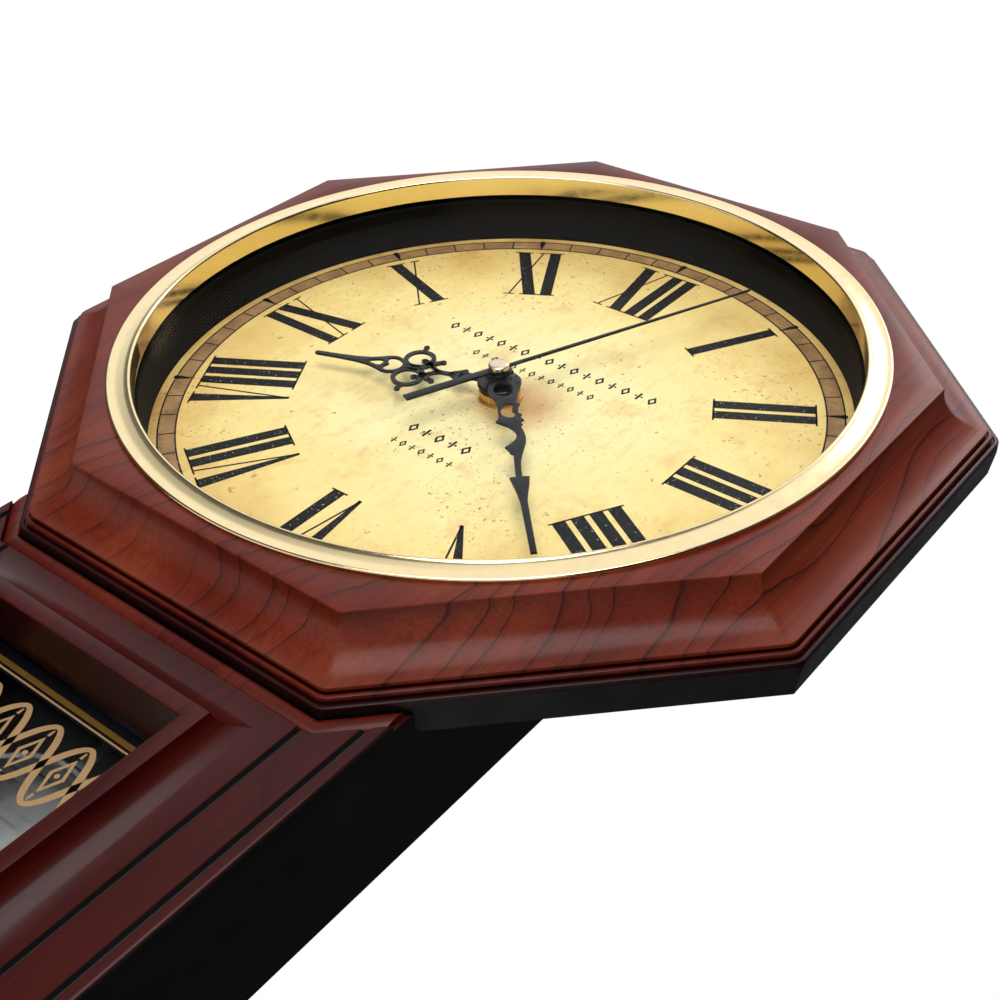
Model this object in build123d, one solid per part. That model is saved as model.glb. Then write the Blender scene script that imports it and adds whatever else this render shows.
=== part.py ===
from build123d import *
import math
import os

# Octagon drop-case wall clock with a quartz pendulum movement, in millimetres.
#
# Every piece is drawn looking at the dial: local X to the right, local Y up from the centre
# of the dial, local Z out of the wall towards the viewer. place() turns that into the row
# frame: +X right, +Z up, -Y out of the wall, with the origin at the hanging keyhole.

# ---- driving dimensions: head -------------------------------------------------------
BEZEL_R = 125.0            # outside radius of the gilt bezel
FACE_D = 65.0              # wall to the front face of the octagon
CREASE_A = 129.6           # apothem where the front face ends and the cove begins
COVE_OUT = 13.7            # width of the cove
LAND_A = CREASE_A + COVE_OUT
LAND_D = 52.6              # wall to the end of the cove
BEAD_STEP = 1.75           # depth of each of the two beads under the cove
BEAD_OUT = 1.85            # how far each bead stands out past the last one
SKIRT_D = 36.6             # wall to the rear edge of the octagon skirt
CORNER_R = 5.0             # rounding of the eight outside corners
HEAD_WALL = 3.0            # wall of the head mouldings
FLOOR_T = 3.2              # floor of the head shell, which carries the dial
OPENING_R = 121.0          # round opening in the octagon front

# ---- driving dimensions: dial and bezel ---------------------------------------------
DIAL_T = 1.0
DIAL_R = 119.5
WELL_R = 116.4             # inside radius of the black well ring
BEZEL_BORE_R = 117.1       # inside radius of the gilt wall
BEZEL_WALL_R = 120.6       # outside radius of the gilt wall, inside the opening
BEZEL_RIM = 1.9            # rim of the bezel above the front face
BEZEL_EDGE = 1.0           # outer edge of the bezel above the front face
GLASS_FRONT_D = 59.4       # wall to the front of the dial glass
GLASS_T = 2.0

# ---- driving dimensions: drop case --------------------------------------------------
WINDOW_HALF = 39.75        # half width of the window
WINDOW_TOP = -172.0        # top of the window below the dial centre
WINDOW_BOTTOM = -264.0
WINDOW_CLIP = 16.0         # clipped lower corners of the window
FRAME_BORDER = 37.75       # window edge to the outside of the case
FIELD_D = 46.6             # wall to the flat field of the drop frame
RIDGE_D = 54.75            # wall to the raised ridge round the window
RIDGE_W = 5.25             # width of the ridge
COVE_W = 13.5              # width of the cove outside the ridge
GROOVE_A = 18.75           # window edge to the inner groove
OUTER_GROOVE_A = 33.15     # window edge to the outer groove
GROOVE_W = 1.7
GROOVE_DEEP = 1.4
FRAME_EDGE_T = 5.2         # thickness of the drop frame at its edge
FRAME_PLATE_T = 3.0
HEAD_CUT_A = LAND_A + 2 * BEAD_OUT + 0.5        # apothem of the cut-out that goes round the octagon
HEAD_BEAD_W = 4.9          # rounded bead round that cut-out
HEAD_BEAD_DROP = 1.2
CASE_TOP = 100.0           # top of the rear case above the dial centre
CASE_WALL = 3.0
PANEL_T = 2.5
GLASS_LOW_D = 36.0         # wall to the front of the window glass
FLANGE_W = 12.0
RETAINER_T = 4.5

# ---- driving dimensions: movement ---------------------------------------------------
HANG_UP = 86.0             # keyhole above the dial centre
MOVE_DEPTH = 17.0
MOVE_HALF_W = 33.0
MOVE_TOP = 30.0
MOVE_BOTTOM = -50.0
BATTERY_ROOF = -31.0       # wall between the works and the battery
MOVE_WALL = 1.5
SPLIT = 9.4                # works compartment: cover height from the rear
BUSH_R = 4.0
HOUR_PIPE_R = 2.7
MINUTE_PIPE_R = 1.8
SECOND_R = 0.75
RUN = 0.05                 # running clearance of pipes and pins
GEAR_MODULE = 0.5
MINUTE_TEETH = 10
REVERSER_TEETH = 30
REVERSER_PINION = 8
HOUR_TEETH = 32
BACKLASH = 0.14
KNOB_R = 6.0
BATTERY_R = 7.1
BATTERY_L = 49.0

# ---- driving dimensions: hands ------------------------------------------------------
HOUR_LEN = 67.5
HOUR_HUB_R = 7.4
HOUR_RING_X = 5.85
HOUR_RING_Y = 30.8
MINUTE_LEN = 95.0
MINUTE_HUB_R = 5.0
SECOND_LEN = 102.0
SECOND_TAIL = 34.5
HOUR_HAND_UP = 6.0         # dial face to the underside of the hour hand
MINUTE_HAND_UP = 8.5
SECOND_HAND_UP = 10.6
HAND_T = 0.8
CAP_R = 3.5
HOUR_AT = 250.5            # degrees clockwise from twelve
MINUTE_AT = 135.4
SECOND_AT = 22.6

# ---- driving dimensions: pendulum ---------------------------------------------------
PIVOT_Y = -18.0
PIVOT_R = 1.0
PENDULUM_D = 16.6          # wall to the middle of the pendulum rod
MAGNET_BELOW = 10.0        # pivot to the drive magnet
HOOK_Y = -56.0
BOB_Y = -208.0
BOB_R = 27.0
ROD_W = 4.0
ROD_T = 0.8

# ---- worked out from the above ------------------------------------------------------
FLOOR_D = SKIRT_D + FLOOR_T
DIAL_D = FLOOR_D + DIAL_T
MOVE_REAR = SKIRT_D - MOVE_DEPTH
CASE_FRONT_D = FIELD_D - FRAME_EDGE_T
GEAR_GAP = GEAR_MODULE * (MINUTE_TEETH + REVERSER_TEETH) / 2 + 0.1
SET_X = GEAR_GAP * math.cos(math.radians(45))
SET_Y = GEAR_GAP * math.sin(math.radians(45))
BEAD2_A = LAND_A + BEAD_OUT
BEAD3_A = BEAD2_A + BEAD_OUT
SKIRT_TOP_D = LAND_D - 3 * BEAD_STEP

os.makedirs("parts", exist_ok=True)


def place(shape):
    """Local drawing frame to the row frame."""
    return Plane.XZ.location * (Location((0, -HANG_UP, 0)) * shape)


def save(name, shape):
    export_step(place(shape), f"parts/{name}.step")


def octagon(apothem):
    """Octagon with flats at twelve, three, six and nine o'clock."""
    return RegularPolygon(apothem, 8, major_radius=False, rotation=22.5)


def round_corners(body):
    """Round the head's eight outside corners."""
    limit = octagon(BEAD3_A + 0.01)
    return body & slab(fillet(limit.vertices(), CORNER_R), 0, FACE_D + 5)


def window_points(grow):
    """Corners of the window outline pushed outwards by grow, clockwise from the top left."""
    half = WINDOW_HALF + grow
    top = WINDOW_TOP + grow
    bottom = WINDOW_BOTTOM - grow
    clip = WINDOW_CLIP + grow * (2 - math.sqrt(2))
    return [(-half, top), (half, top), (half, bottom + clip), (half - clip, bottom),
            (clip - half, bottom), (-half, bottom + clip)]


def window_face(grow):
    return make_face(Polyline(*window_points(grow), close=True))


def case_face(grow):
    """Outline of the whole rear case: the drop outline carried up behind the head."""
    points = window_points(FRAME_BORDER + grow)
    points[0] = (points[0][0], CASE_TOP + grow)
    points[1] = (points[1][0], CASE_TOP + grow)
    return make_face(Polyline(*points, close=True))


def slab(face, low, high):
    return Location((0, 0, low)) * extrude(face, high - low, dir=(0, 0, 1))


def disc(radius, low, high, x=0.0, y=0.0):
    return Location((x, y, low)) * extrude(Circle(radius), high - low)


def block(width, height, low, high, x=0.0, y=0.0):
    return Location((x, y, low)) * extrude(Rectangle(width, height), high - low)


def ring(outer, inner, low, high, x=0.0, y=0.0):
    return disc(outer, low, high, x, y) - disc(inner, low - 1, high + 1, x, y)


def turned(face):
    """Revolve a face drawn as radius across, depth up."""
    return revolve(Plane.XZ.location * face, Axis.Z)


def octagon_moulding(profile):
    """Run a profile, drawn as apothem across and depth up, round the octagon with mitres."""
    reach = 2 * BEAD3_A
    side = extrude(Plane.XZ.location * profile, reach, both=True)
    wedge_y = reach * math.tan(math.radians(22.5))
    wedge = extrude(make_face(Polyline((0, 0), (reach, -wedge_y), (reach, wedge_y), close=True)), FACE_D * 2)
    one = side & wedge
    return Compound([Rot(0, 0, 45 * k) * one for k in range(8)])


def window_moulding(profile, sides=6, first=0):
    """Run a profile round the window. Its X is the distance out from the window's edge."""
    inner = window_points(0)
    outer = window_points(FRAME_BORDER)
    pieces = []
    for k in range(first, first + sides):
        a, b = inner[k % 6], inner[(k + 1) % 6]
        a2, b2 = outer[k % 6], outer[(k + 1) % 6]
        along = Vector(b[0] - a[0], b[1] - a[1], 0)
        out = Vector(-along.Y, along.X, 0).normalized()
        plane = Plane(origin=(a[0], a[1], 0), x_dir=out, z_dir=along.normalized())
        run = extrude(plane.location * profile, 4 * FRAME_BORDER + along.length, both=True)
        sector = slab(make_face(Polyline(a, b, b2, a2, close=True)), 0, FACE_D)
        pieces.append(run & sector)
    return pieces


def screw(x, y, head_d, tip_d, head_r=2.4, shank_r=1.3, head_t=1.4):
    """Pan-head screw whose head lies beyond head_d on the side away from tip_d."""
    toward = 1 if tip_d > head_d else -1
    shank = disc(shank_r, min(head_d, tip_d), max(head_d, tip_d), x, y)
    low, high = sorted((head_d, head_d - toward * head_t))
    head = disc(head_r, low, high, x, y)
    slot = block(2 * head_r + 1, 0.6, head_d - toward * head_t - 0.5, head_d - toward * head_t + 0.5, x, y)
    return head + shank - slot


# ---- head --------------------------------------------------------------------------
FRAME_SCREW_R = 133.0
FRAME_SCREWS = [(FRAME_SCREW_R * math.cos(math.radians(22.5 + 45 * k)),
                 FRAME_SCREW_R * math.sin(math.radians(22.5 + 45 * k))) for k in range(8)]
SHELL_SCREWS = [(70.0, 88.0), (-70.0, 88.0), (70.0, -60.0), (-70.0, -60.0)]


def head_profile():
    """Section of the octagon front from the opening out to the last bead."""
    start = OPENING_R - 8
    with BuildLine() as line:
        Line((start, FACE_D), (CREASE_A, FACE_D))
        EllipticalCenterArc((LAND_A, FACE_D), LAND_A - CREASE_A, FACE_D - LAND_D, 180, arc_size=90)
        d1 = LAND_D - BEAD_STEP
        d2 = d1 - BEAD_STEP
        Polyline((LAND_A, LAND_D), (LAND_A, d1), (BEAD2_A, d1), (BEAD2_A, d2), (BEAD3_A, d2),
                 (BEAD3_A, SKIRT_TOP_D), (BEAD3_A - HEAD_WALL, SKIRT_TOP_D),
                 (CREASE_A + 8.5, LAND_D - HEAD_WALL), (CREASE_A - 1, FACE_D - 5.5),
                 (start, FACE_D - 5.5), (start, FACE_D))
    return make_face(line.line.edges())


def make_head_frame():
    body = octagon_moulding(head_profile())
    solid = body.children[0] if body.children else body.solids()[0]
    for piece in body.solids()[1:]:
        solid = solid + piece
    for x, y in FRAME_SCREWS:
        post = disc(4.0, FLOOR_D, FACE_D - 5.0, x, y) - disc(1.3, FLOOR_D - 1, FLOOR_D + 12, x, y)
        solid = solid + post
    return solid - disc(OPENING_R, 0, FACE_D + 1)


def make_head_shell():
    """Black octagon pan: skirt, floor for the dial, and the seat on the rear case."""
    skirt_taper = 1.5
    outer = loft([Location((0, 0, SKIRT_D)) * octagon(BEAD3_A - skirt_taper),
                  Location((0, 0, SKIRT_TOP_D)) * octagon(BEAD3_A)], ruled=True)
    inner = loft([Location((0, 0, FLOOR_D)) * octagon(BEAD3_A - skirt_taper - HEAD_WALL),
                  Location((0, 0, SKIRT_TOP_D + 1)) * octagon(BEAD3_A - HEAD_WALL)], ruled=True)
    shell = outer - inner
    shell -= disc(BUSH_R + 0.2, SKIRT_D - 1, FLOOR_D + 1)
    for x, y in FRAME_SCREWS:
        shell -= disc(1.4, SKIRT_D - 1, FLOOR_D + 1, x, y)
    for x, y in SHELL_SCREWS:
        shell -= disc(1.4, SKIRT_D - 1, FLOOR_D + 1, x, y)
        shell -= disc(2.6, FLOOR_D - 1.8, FLOOR_D + 1, x, y)
    return shell


def make_bezel():
    """Gilt ring: a slightly dished flange and a straight wall down to the glass."""
    flange_r = BEZEL_BORE_R + 1.2
    with BuildLine() as line:
        Polyline((BEZEL_BORE_R, GLASS_FRONT_D), (BEZEL_BORE_R, FACE_D + BEZEL_RIM - 0.6))
        ThreePointArc((BEZEL_BORE_R, FACE_D + BEZEL_RIM - 0.6),
                      (BEZEL_BORE_R + 0.35, FACE_D + BEZEL_RIM - 0.15), (flange_r, FACE_D + BEZEL_RIM))
        Line((flange_r, FACE_D + BEZEL_RIM), (BEZEL_R - 1.0, FACE_D + BEZEL_EDGE))
        ThreePointArc((BEZEL_R - 1.0, FACE_D + BEZEL_EDGE),
                      (BEZEL_R - 0.25, FACE_D + BEZEL_EDGE - 0.3), (BEZEL_R, FACE_D + 0.3))
        Polyline((BEZEL_R, FACE_D + 0.3), (BEZEL_R, FACE_D), (BEZEL_WALL_R, FACE_D),
                 (BEZEL_WALL_R, GLASS_FRONT_D), (BEZEL_BORE_R, GLASS_FRONT_D))
    return turned(make_face(line.line.edges()))


def make_dial():
    return ring(DIAL_R, BUSH_R + 0.2, FLOOR_D, DIAL_D)


# ---- drop case ---------------------------------------------------------------------
def octagon_prism(apothem, low, high):
    return slab(octagon(apothem), low, high)


def frame_profile():
    """Section of the window moulding: reveal, ridge, cove and field, with a glass flange."""
    foot = RIDGE_W + COVE_W
    under = FIELD_D - FRAME_PLATE_T
    with BuildLine() as line:
        Polyline((0, GLASS_LOW_D), (0, RIDGE_D - 0.5), (0.5, RIDGE_D), (RIDGE_W, RIDGE_D))
        EllipticalCenterArc((foot, RIDGE_D), COVE_W, RIDGE_D - FIELD_D, 180, arc_size=90)
        Polyline((foot, FIELD_D), (foot + 4, FIELD_D), (foot + 4, under), (foot - 5, under),
                 (HEAD_WALL, RIDGE_D - HEAD_WALL), (HEAD_WALL, GLASS_LOW_D + 3),
                 (FLANGE_W, GLASS_LOW_D + 3), (FLANGE_W, GLASS_LOW_D), (0, GLASS_LOW_D))
    return make_face(line.line.edges())


def groove_profile(a):
    half = GROOVE_W / 2
    return make_face(Polyline((a - half, FIELD_D + 0.5), (a - half, FIELD_D), (a, FIELD_D - GROOVE_DEEP),
                              (a + half, FIELD_D), (a + half, FIELD_D + 0.5), close=True))


RETAINER_SCREWS = [(WINDOW_HALF + 8.5, WINDOW_TOP - 20), (-WINDOW_HALF - 8.5, WINDOW_TOP - 20),
                   (WINDOW_HALF + 8.5, WINDOW_BOTTOM + 30), (-WINDOW_HALF - 8.5, WINDOW_BOTTOM + 30)]


def make_drop_frame():
    plate = slab(window_face(FRAME_BORDER), FIELD_D - FRAME_PLATE_T, FIELD_D)
    plate -= slab(window_face(RIDGE_W + COVE_W + 1), 0, FACE_D)
    rim = slab(window_face(FRAME_BORDER), CASE_FRONT_D, FIELD_D)
    rim -= slab(window_face(FRAME_BORDER - CASE_WALL), 0, FACE_D)
    ears = [Pos(s * (WINDOW_HALF + FRAME_BORDER - 14), -118.0, 0) for s in (-1, 1)]
    for ear in ears:
        plate += ear * block(28, 96, FIELD_D - FRAME_PLATE_T, FIELD_D)
    for s in (-1, 1):
        rim += block(CASE_WALL, 96, CASE_FRONT_D, FIELD_D, s * (WINDOW_HALF + FRAME_BORDER - CASE_WALL / 2), -118.0)
    solid = plate + rim
    for piece in window_moulding(frame_profile()):
        solid = solid + piece
    for a in (GROOVE_A + GROOVE_W / 2, OUTER_GROOVE_A):
        for piece in window_moulding(groove_profile(a), sides=5, first=1):
            solid = solid - piece
        x = WINDOW_HALF + a
        for s in (-1, 1):
            cut = Plane(origin=(s * x, WINDOW_TOP - 5, 0), x_dir=(s, 0, 0), z_dir=(0, s, 0)).location
            tool = extrude(cut * Pos(-a, 0) * groove_profile(a), s * 60)
            solid = solid - tool
    solid -= octagon_prism(HEAD_CUT_A, 0, FACE_D)
    lowered = octagon_prism(HEAD_CUT_A + HEAD_BEAD_W, FIELD_D - HEAD_BEAD_DROP, FACE_D)
    solid -= lowered & slab(window_face(FRAME_BORDER + 30) - window_face(0), 0, FACE_D)
    for x, y in RETAINER_SCREWS:
        solid -= disc(1.3, GLASS_LOW_D - 1, GLASS_LOW_D + 2.5, x, y)
    return solid


PANEL_SCREWS = [(70.0, 92.0), (-70.0, 92.0), (70.0, -100.0), (-70.0, -100.0), (70.0, -250.0), (-70.0, -250.0)]


def make_rear_case():
    outer = case_face(0)
    inner = case_face(-CASE_WALL)
    walls = slab(outer, 0, CASE_FRONT_D) - slab(inner, -1, CASE_FRONT_D + 1)
    walls -= octagon_prism(HEAD_CUT_A - 0.2, SKIRT_D, CASE_FRONT_D + 1)
    solid = walls
    for x, y in PANEL_SCREWS:
        grip = block(9.4, 12, PANEL_T, 16, math.copysign(abs(x) + 0.3, x), y)
        solid += grip
    for x, y in SHELL_SCREWS:
        solid += block(9.4, 12, SKIRT_D - 14, SKIRT_D, math.copysign(abs(x) + 0.3, x), y)
    solid &= slab(outer, 0, CASE_FRONT_D)
    for x, y in PANEL_SCREWS:
        solid -= disc(1.3, 0, 14, x, y)
    for x, y in SHELL_SCREWS:
        solid -= disc(1.3, SKIRT_D - 12, SKIRT_D + 1, x, y)
    return solid


ACCESS_W = 84.0
ACCESS_TOP = 44.0
ACCESS_BOTTOM = -66.0
HANGER_W = 34.0
HANGER_H = 16.0
HANGER_T = 1.5
HANGER_SCREWS = [(12.0, HANG_UP), (-12.0, HANG_UP)]
KEYHOLE_R = 4.5


def make_back_panel():
    panel = slab(case_face(-CASE_WALL - 0.3), 0, PANEL_T)
    height = ACCESS_TOP - ACCESS_BOTTOM
    panel -= block(ACCESS_W, height, -1, PANEL_T + 1, 0, (ACCESS_TOP + ACCESS_BOTTOM) / 2)
    panel -= block(13.0, 14.0, -1, PANEL_T + 1, 0, HANG_UP)
    panel -= block(HANGER_W + 0.4, HANGER_H + 0.4, -1, HANGER_T, 0, HANG_UP)
    for x, y in PANEL_SCREWS:
        panel -= disc(1.5, -1, PANEL_T + 1, x, y)
        panel -= disc(2.8, -1, 1.5, x, y)
    for x, y in HANGER_SCREWS:
        panel -= disc(1.1, -1, PANEL_T + 1, x, y)
    return panel


def make_hanger_plate():
    plate = block(HANGER_W, HANGER_H, 0, HANGER_T, 0, HANG_UP)
    plate -= disc(KEYHOLE_R, -1, HANGER_T + 1, 0, HANG_UP)
    plate -= block(4.0, 6.5, -1, HANGER_T + 1, 0, HANG_UP + 3.25)
    for x, y in HANGER_SCREWS:
        plate -= disc(1.2, -1, HANGER_T + 1, x, y)
    return plate


def make_rivets():
    rivets = []
    for x, y in HANGER_SCREWS:
        body = disc(1.05, 0.0, PANEL_T + 0.9, x, y) + disc(2.2, PANEL_T, PANEL_T + 0.9, x, y)
        rivets.append(body)
    return Compound(rivets)


def make_retainer():
    low = GLASS_LOW_D - RETAINER_T
    outer = slab(window_face(FLANGE_W), low, GLASS_LOW_D)
    pocket = slab(window_face(4.4), GLASS_LOW_D - GLASS_T, GLASS_LOW_D + 1)
    opening = slab(window_face(1.0), 0, FACE_D)
    solid = outer - pocket - opening
    for x, y in RETAINER_SCREWS:
        solid -= disc(1.5, 0, FACE_D, x, y)
    return solid


# ---- movement ----------------------------------------------------------------------
COVER_SCREWS = [(28.0, 25.0), (-28.0, 25.0), (28.0, -27.0), (-28.0, -27.0)]
WORKS_H = MOVE_TOP - BATTERY_ROOF
WORKS_Y = (MOVE_TOP + BATTERY_ROOF) / 2


def make_housing():
    """Front half of the movement with the battery bay, which opens to the rear."""
    split_d = MOVE_REAR + SPLIT
    height = MOVE_TOP - MOVE_BOTTOM
    mid = (MOVE_TOP + MOVE_BOTTOM) / 2
    body = block(2 * MOVE_HALF_W, height, MOVE_REAR, SKIRT_D, 0, mid)
    body -= block(2 * MOVE_HALF_W + 2, WORKS_H + 1, MOVE_REAR - 1, split_d, 0, WORKS_Y + 0.5)
    body -= block(2 * (MOVE_HALF_W - MOVE_WALL), WORKS_H - 2 * MOVE_WALL, 0, SKIRT_D - MOVE_WALL, 0, WORKS_Y)
    bay_h = BATTERY_ROOF - MOVE_BOTTOM - 2 * MOVE_WALL
    body -= block(2 * (MOVE_HALF_W - MOVE_WALL), bay_h, 0, SKIRT_D - MOVE_WALL, 0, (BATTERY_ROOF + MOVE_BOTTOM) / 2)
    for x, y in COVER_SCREWS:
        body += disc(3.0, split_d, SKIRT_D, x, y) - disc(1.0, split_d - 1, split_d + 5, x, y)
    return body - disc(BUSH_R, 0, SKIRT_D + 1)


def make_cover():
    split_d = MOVE_REAR + SPLIT
    body = block(2 * MOVE_HALF_W, WORKS_H, MOVE_REAR, split_d, 0, WORKS_Y)
    body -= block(2 * (MOVE_HALF_W - MOVE_WALL), WORKS_H - 2 * MOVE_WALL, MOVE_REAR + MOVE_WALL, SKIRT_D, 0, WORKS_Y)
    for x, y in COVER_SCREWS:
        body += disc(3.0, MOVE_REAR, split_d, x, y)
        body -= disc(1.2, 0, split_d + 1, x, y)
    body += disc(3.0, MOVE_REAR, MOVE_REAR + 3, SET_X, SET_Y)
    body -= disc(1.5 + RUN, 0, MOVE_REAR + 4, SET_X, SET_Y)
    body += disc(2.2, MOVE_REAR, MOVE_REAR + 4)
    body -= disc(SECOND_R + RUN, MOVE_REAR + MOVE_WALL, MOVE_REAR + 5)
    return body


def make_bushing():
    """Threaded post that clamps the movement to the dial and carries the hand pipes."""
    top = DIAL_D + 5.0
    post = ring(BUSH_R, HOUR_PIPE_R + RUN, SKIRT_D - MOVE_WALL, top)
    collar = ring(BUSH_R + 2.0, HOUR_PIPE_R + RUN, SKIRT_D - MOVE_WALL - 1.0, SKIRT_D - MOVE_WALL)
    grooves = [ring(BUSH_R + 1, BUSH_R - 0.3, DIAL_D + 3.9 + 0.5 * k, DIAL_D + 4.1 + 0.5 * k) for k in range(2)]
    return post + collar - grooves[0] - grooves[1]


def make_nut():
    body = ring(7.0, BUSH_R, DIAL_D + 0.8, DIAL_D + 3.6)
    for k in range(24):
        body -= Rot(0, 0, 15 * k) * disc(0.35, DIAL_D, DIAL_D + 5, 7.1, 0)
    return body


def involute_half_angle(radius, base, pitch, teeth):
    """Half of a tooth's angular width at a radius."""
    at_pitch = math.pi / (2 * teeth) - BACKLASH / (2 * pitch)
    lean = math.acos(base / pitch)
    here = math.acos(min(1.0, base / radius))
    return at_pitch + (math.tan(lean) - lean) - (math.tan(here) - here)


def gear(teeth, low, high, turn=0.0):
    """Spur gear with involute flanks."""
    pitch = GEAR_MODULE * teeth / 2
    base = pitch * math.cos(math.radians(20))
    tip = pitch + 0.8 * GEAR_MODULE
    root = pitch - 1.15 * GEAR_MODULE
    start = max(base, root + 0.05)
    radii = [start + (tip - start) * k / 3 for k in range(4)]
    points = []
    for k in range(teeth):
        mid = 2 * math.pi * k / teeth
        flank = [(root, involute_half_angle(start, base, pitch, teeth))]
        flank += [(r, involute_half_angle(r, base, pitch, teeth)) for r in radii]
        points += [(r * math.cos(mid - a), r * math.sin(mid - a)) for r, a in flank]
        points += [(r * math.cos(mid + a), r * math.sin(mid + a)) for r, a in reversed(flank)]
    wheel = slab(make_face(Polyline(*points, close=True)), low, high)
    return Rot(0, 0, turn) * wheel


HOUR_WHEEL_D = SKIRT_D - MOVE_WALL - 3.2
MINUTE_PINION_D = HOUR_WHEEL_D - 2.4
WHEEL_T = 1.4


def make_hour_wheel():
    low = HOUR_WHEEL_D
    pipe = disc(HOUR_PIPE_R, low, DIAL_D + HOUR_HAND_UP + HAND_T)
    body = gear(HOUR_TEETH, low, low + WHEEL_T) + pipe
    return body - disc(MINUTE_PIPE_R + RUN, 0, FACE_D)


def make_minute_pipe():
    low = MINUTE_PINION_D
    body = gear(MINUTE_TEETH, low, low + WHEEL_T) + disc(MINUTE_PIPE_R, low, DIAL_D + MINUTE_HAND_UP + HAND_T)
    return body - disc(SECOND_R + RUN, 0, FACE_D)


def mesh_turn(own_teeth, other_teeth, other_turn):
    """Turn of a wheel at 45 degrees from another, so that a gap meets the other's tooth."""
    phase = (45 - other_turn) * other_teeth / own_teeth
    return 225 + phase + 180 / own_teeth


def make_setting_wheel():
    """Reverser wheel and pinion on the shaft that the setting knob turns."""
    wheel = gear(REVERSER_TEETH, MINUTE_PINION_D, MINUTE_PINION_D + WHEEL_T,
                 mesh_turn(REVERSER_TEETH, MINUTE_TEETH, 0))
    pinion = gear(REVERSER_PINION, MINUTE_PINION_D, HOUR_WHEEL_D + WHEEL_T,
                  mesh_turn(REVERSER_PINION, HOUR_TEETH, 0))
    shaft = disc(1.5, MOVE_REAR - 6.5, MINUTE_PINION_D)
    return Location((SET_X, SET_Y, 0)) * (wheel + pinion + shaft)


def make_knob():
    low = MOVE_REAR - 6.5
    body = ring(KNOB_R, 1.5, low, MOVE_REAR - 0.4, SET_X, SET_Y)
    for k in range(20):
        groove = Location((SET_X, SET_Y, 0)) * (Rot(0, 0, 18 * k) * disc(0.5, low - 1, MOVE_REAR, KNOB_R + 0.2, 0))
        body -= groove
    return body


def make_second_arbor():
    low = MOVE_REAR + MOVE_WALL + 0.1
    body = disc(SECOND_R, low, DIAL_D + SECOND_HAND_UP + 1.2)
    return body + gear(30, MINUTE_PINION_D - 3.2, MINUTE_PINION_D - 2.2)


def make_battery():
    body = Cylinder(BATTERY_R, BATTERY_L) + Pos(0, 0, BATTERY_L / 2 + 0.6) * Cylinder(2.7, 1.2)
    mid_y = (BATTERY_ROOF + MOVE_BOTTOM) / 2
    return Location((-0.6, mid_y, SKIRT_D - MOVE_WALL - BATTERY_R - 0.1)) * (Rot(0, 90, 0) * body)


def make_contact_plus():
    mid_y = (BATTERY_ROOF + MOVE_BOTTOM) / 2
    x = BATTERY_L / 2 + 0.6
    face = MOVE_HALF_W - MOVE_WALL
    plate = Pos(x + 0.2, mid_y, 28.0) * Box(0.4, 9, 11)
    arm = Pos((x + face) / 2, mid_y + 4.3, 28.0) * Box(face - x, 0.4, 6)
    back = Pos(face - 0.2, mid_y, 28.0) * Box(0.4, 9, 11)
    return plate + arm + back


def make_contact_minus():
    """Conical spring that presses on the flat end of the cell."""
    mid_y = (BATTERY_ROOF + MOVE_BOTTOM) / 2
    start = -(MOVE_HALF_W - MOVE_WALL)
    end = -BATTERY_L / 2 - 0.6
    gap = end - start
    plate = Pos(start + 0.2, mid_y, 28.0) * Box(0.4, 10, 11)
    turns = []
    count = 4
    for k in range(count):
        radius = 4.2 - 0.7 * k
        x = start + 0.4 + (gap - 0.4) * (k + 0.5) / count
        turns.append(Pos(x, mid_y, 28.0) * (Rot(0, 90, 0) * Torus(radius, 0.35)))
    solid = plate
    for k, turn in enumerate(turns):
        x0 = start + 0.2 + (gap - 0.4) * k / count
        length = (gap - 0.4) / count
        bar = Pos(x0 + length / 2, mid_y, 31.85 - 0.7 * k) * Box(length + 0.2, 0.6, 0.9)
        solid = solid + turn + bar
    return solid


def make_coil(x, y, length, low, high):
    """Wound bobbin lying along local Y."""
    mid = (low + high) / 2
    radius = (high - low) / 2
    core = Pos(x, y, mid) * (Rot(90, 0, 0) * Cylinder(radius * 0.8, length))
    for s in (-1, 1):
        core += Pos(x, y + s * (length / 2 - 0.5), mid) * Box(2 * radius, 1.0, 2 * radius)
    return core


def make_circuit_board():
    board = block(26, 50, SKIRT_D - MOVE_WALL - 3.0, SKIRT_D - MOVE_WALL - 1.8, -17.5, -1.0)
    board -= disc(10.5, 0, FACE_D)
    board += block(6, 6, SKIRT_D - MOVE_WALL - 4.6, SKIRT_D - MOVE_WALL - 3.0, -24, -10)
    board += block(2.4, 7, SKIRT_D - MOVE_WALL - 5.2, SKIRT_D - MOVE_WALL - 3.0, -15, -18)
    for x, y in COVER_SCREWS:
        board -= disc(3.3, 0, FACE_D, x, y)
    for x, y in ((-12.0, -20.0), (-26.0, 14.0)):
        board += disc(1.0, SKIRT_D - MOVE_WALL - 1.8, SKIRT_D - MOVE_WALL, x, y)
    return board


# ---- hands -------------------------------------------------------------------------
def hand_tip(start, base_w, end, end_w):
    """Straight taper along +Y."""
    return make_face(Polyline((-base_w, start), (base_w, start), (end_w, end), (-end_w, end), close=True))


def curl(points):
    """Tapered bars through (x, y, half width) points, with round joints."""
    face = Sketch()
    for (x0, y0, w0), (x1, y1, w1) in zip(points, points[1:]):
        length = math.hypot(x1 - x0, y1 - y0)
        px, py = (y0 - y1) / length, (x1 - x0) / length
        face += make_face(Polyline((x0 + px * w0, y0 + py * w0), (x1 + px * w1, y1 + py * w1),
                                   (x1 - px * w1, y1 - py * w1), (x0 - px * w0, y0 - py * w0), close=True).edges())
    for x, y, w in points:
        face += Pos(x, y) * Circle(w)
    return face


def outline(points):
    """Closed outline from (along, left) points of a hand drawn pointing up."""
    return make_face(Polyline(*[(-left, along) for along, left in points], close=True).edges())


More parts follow.
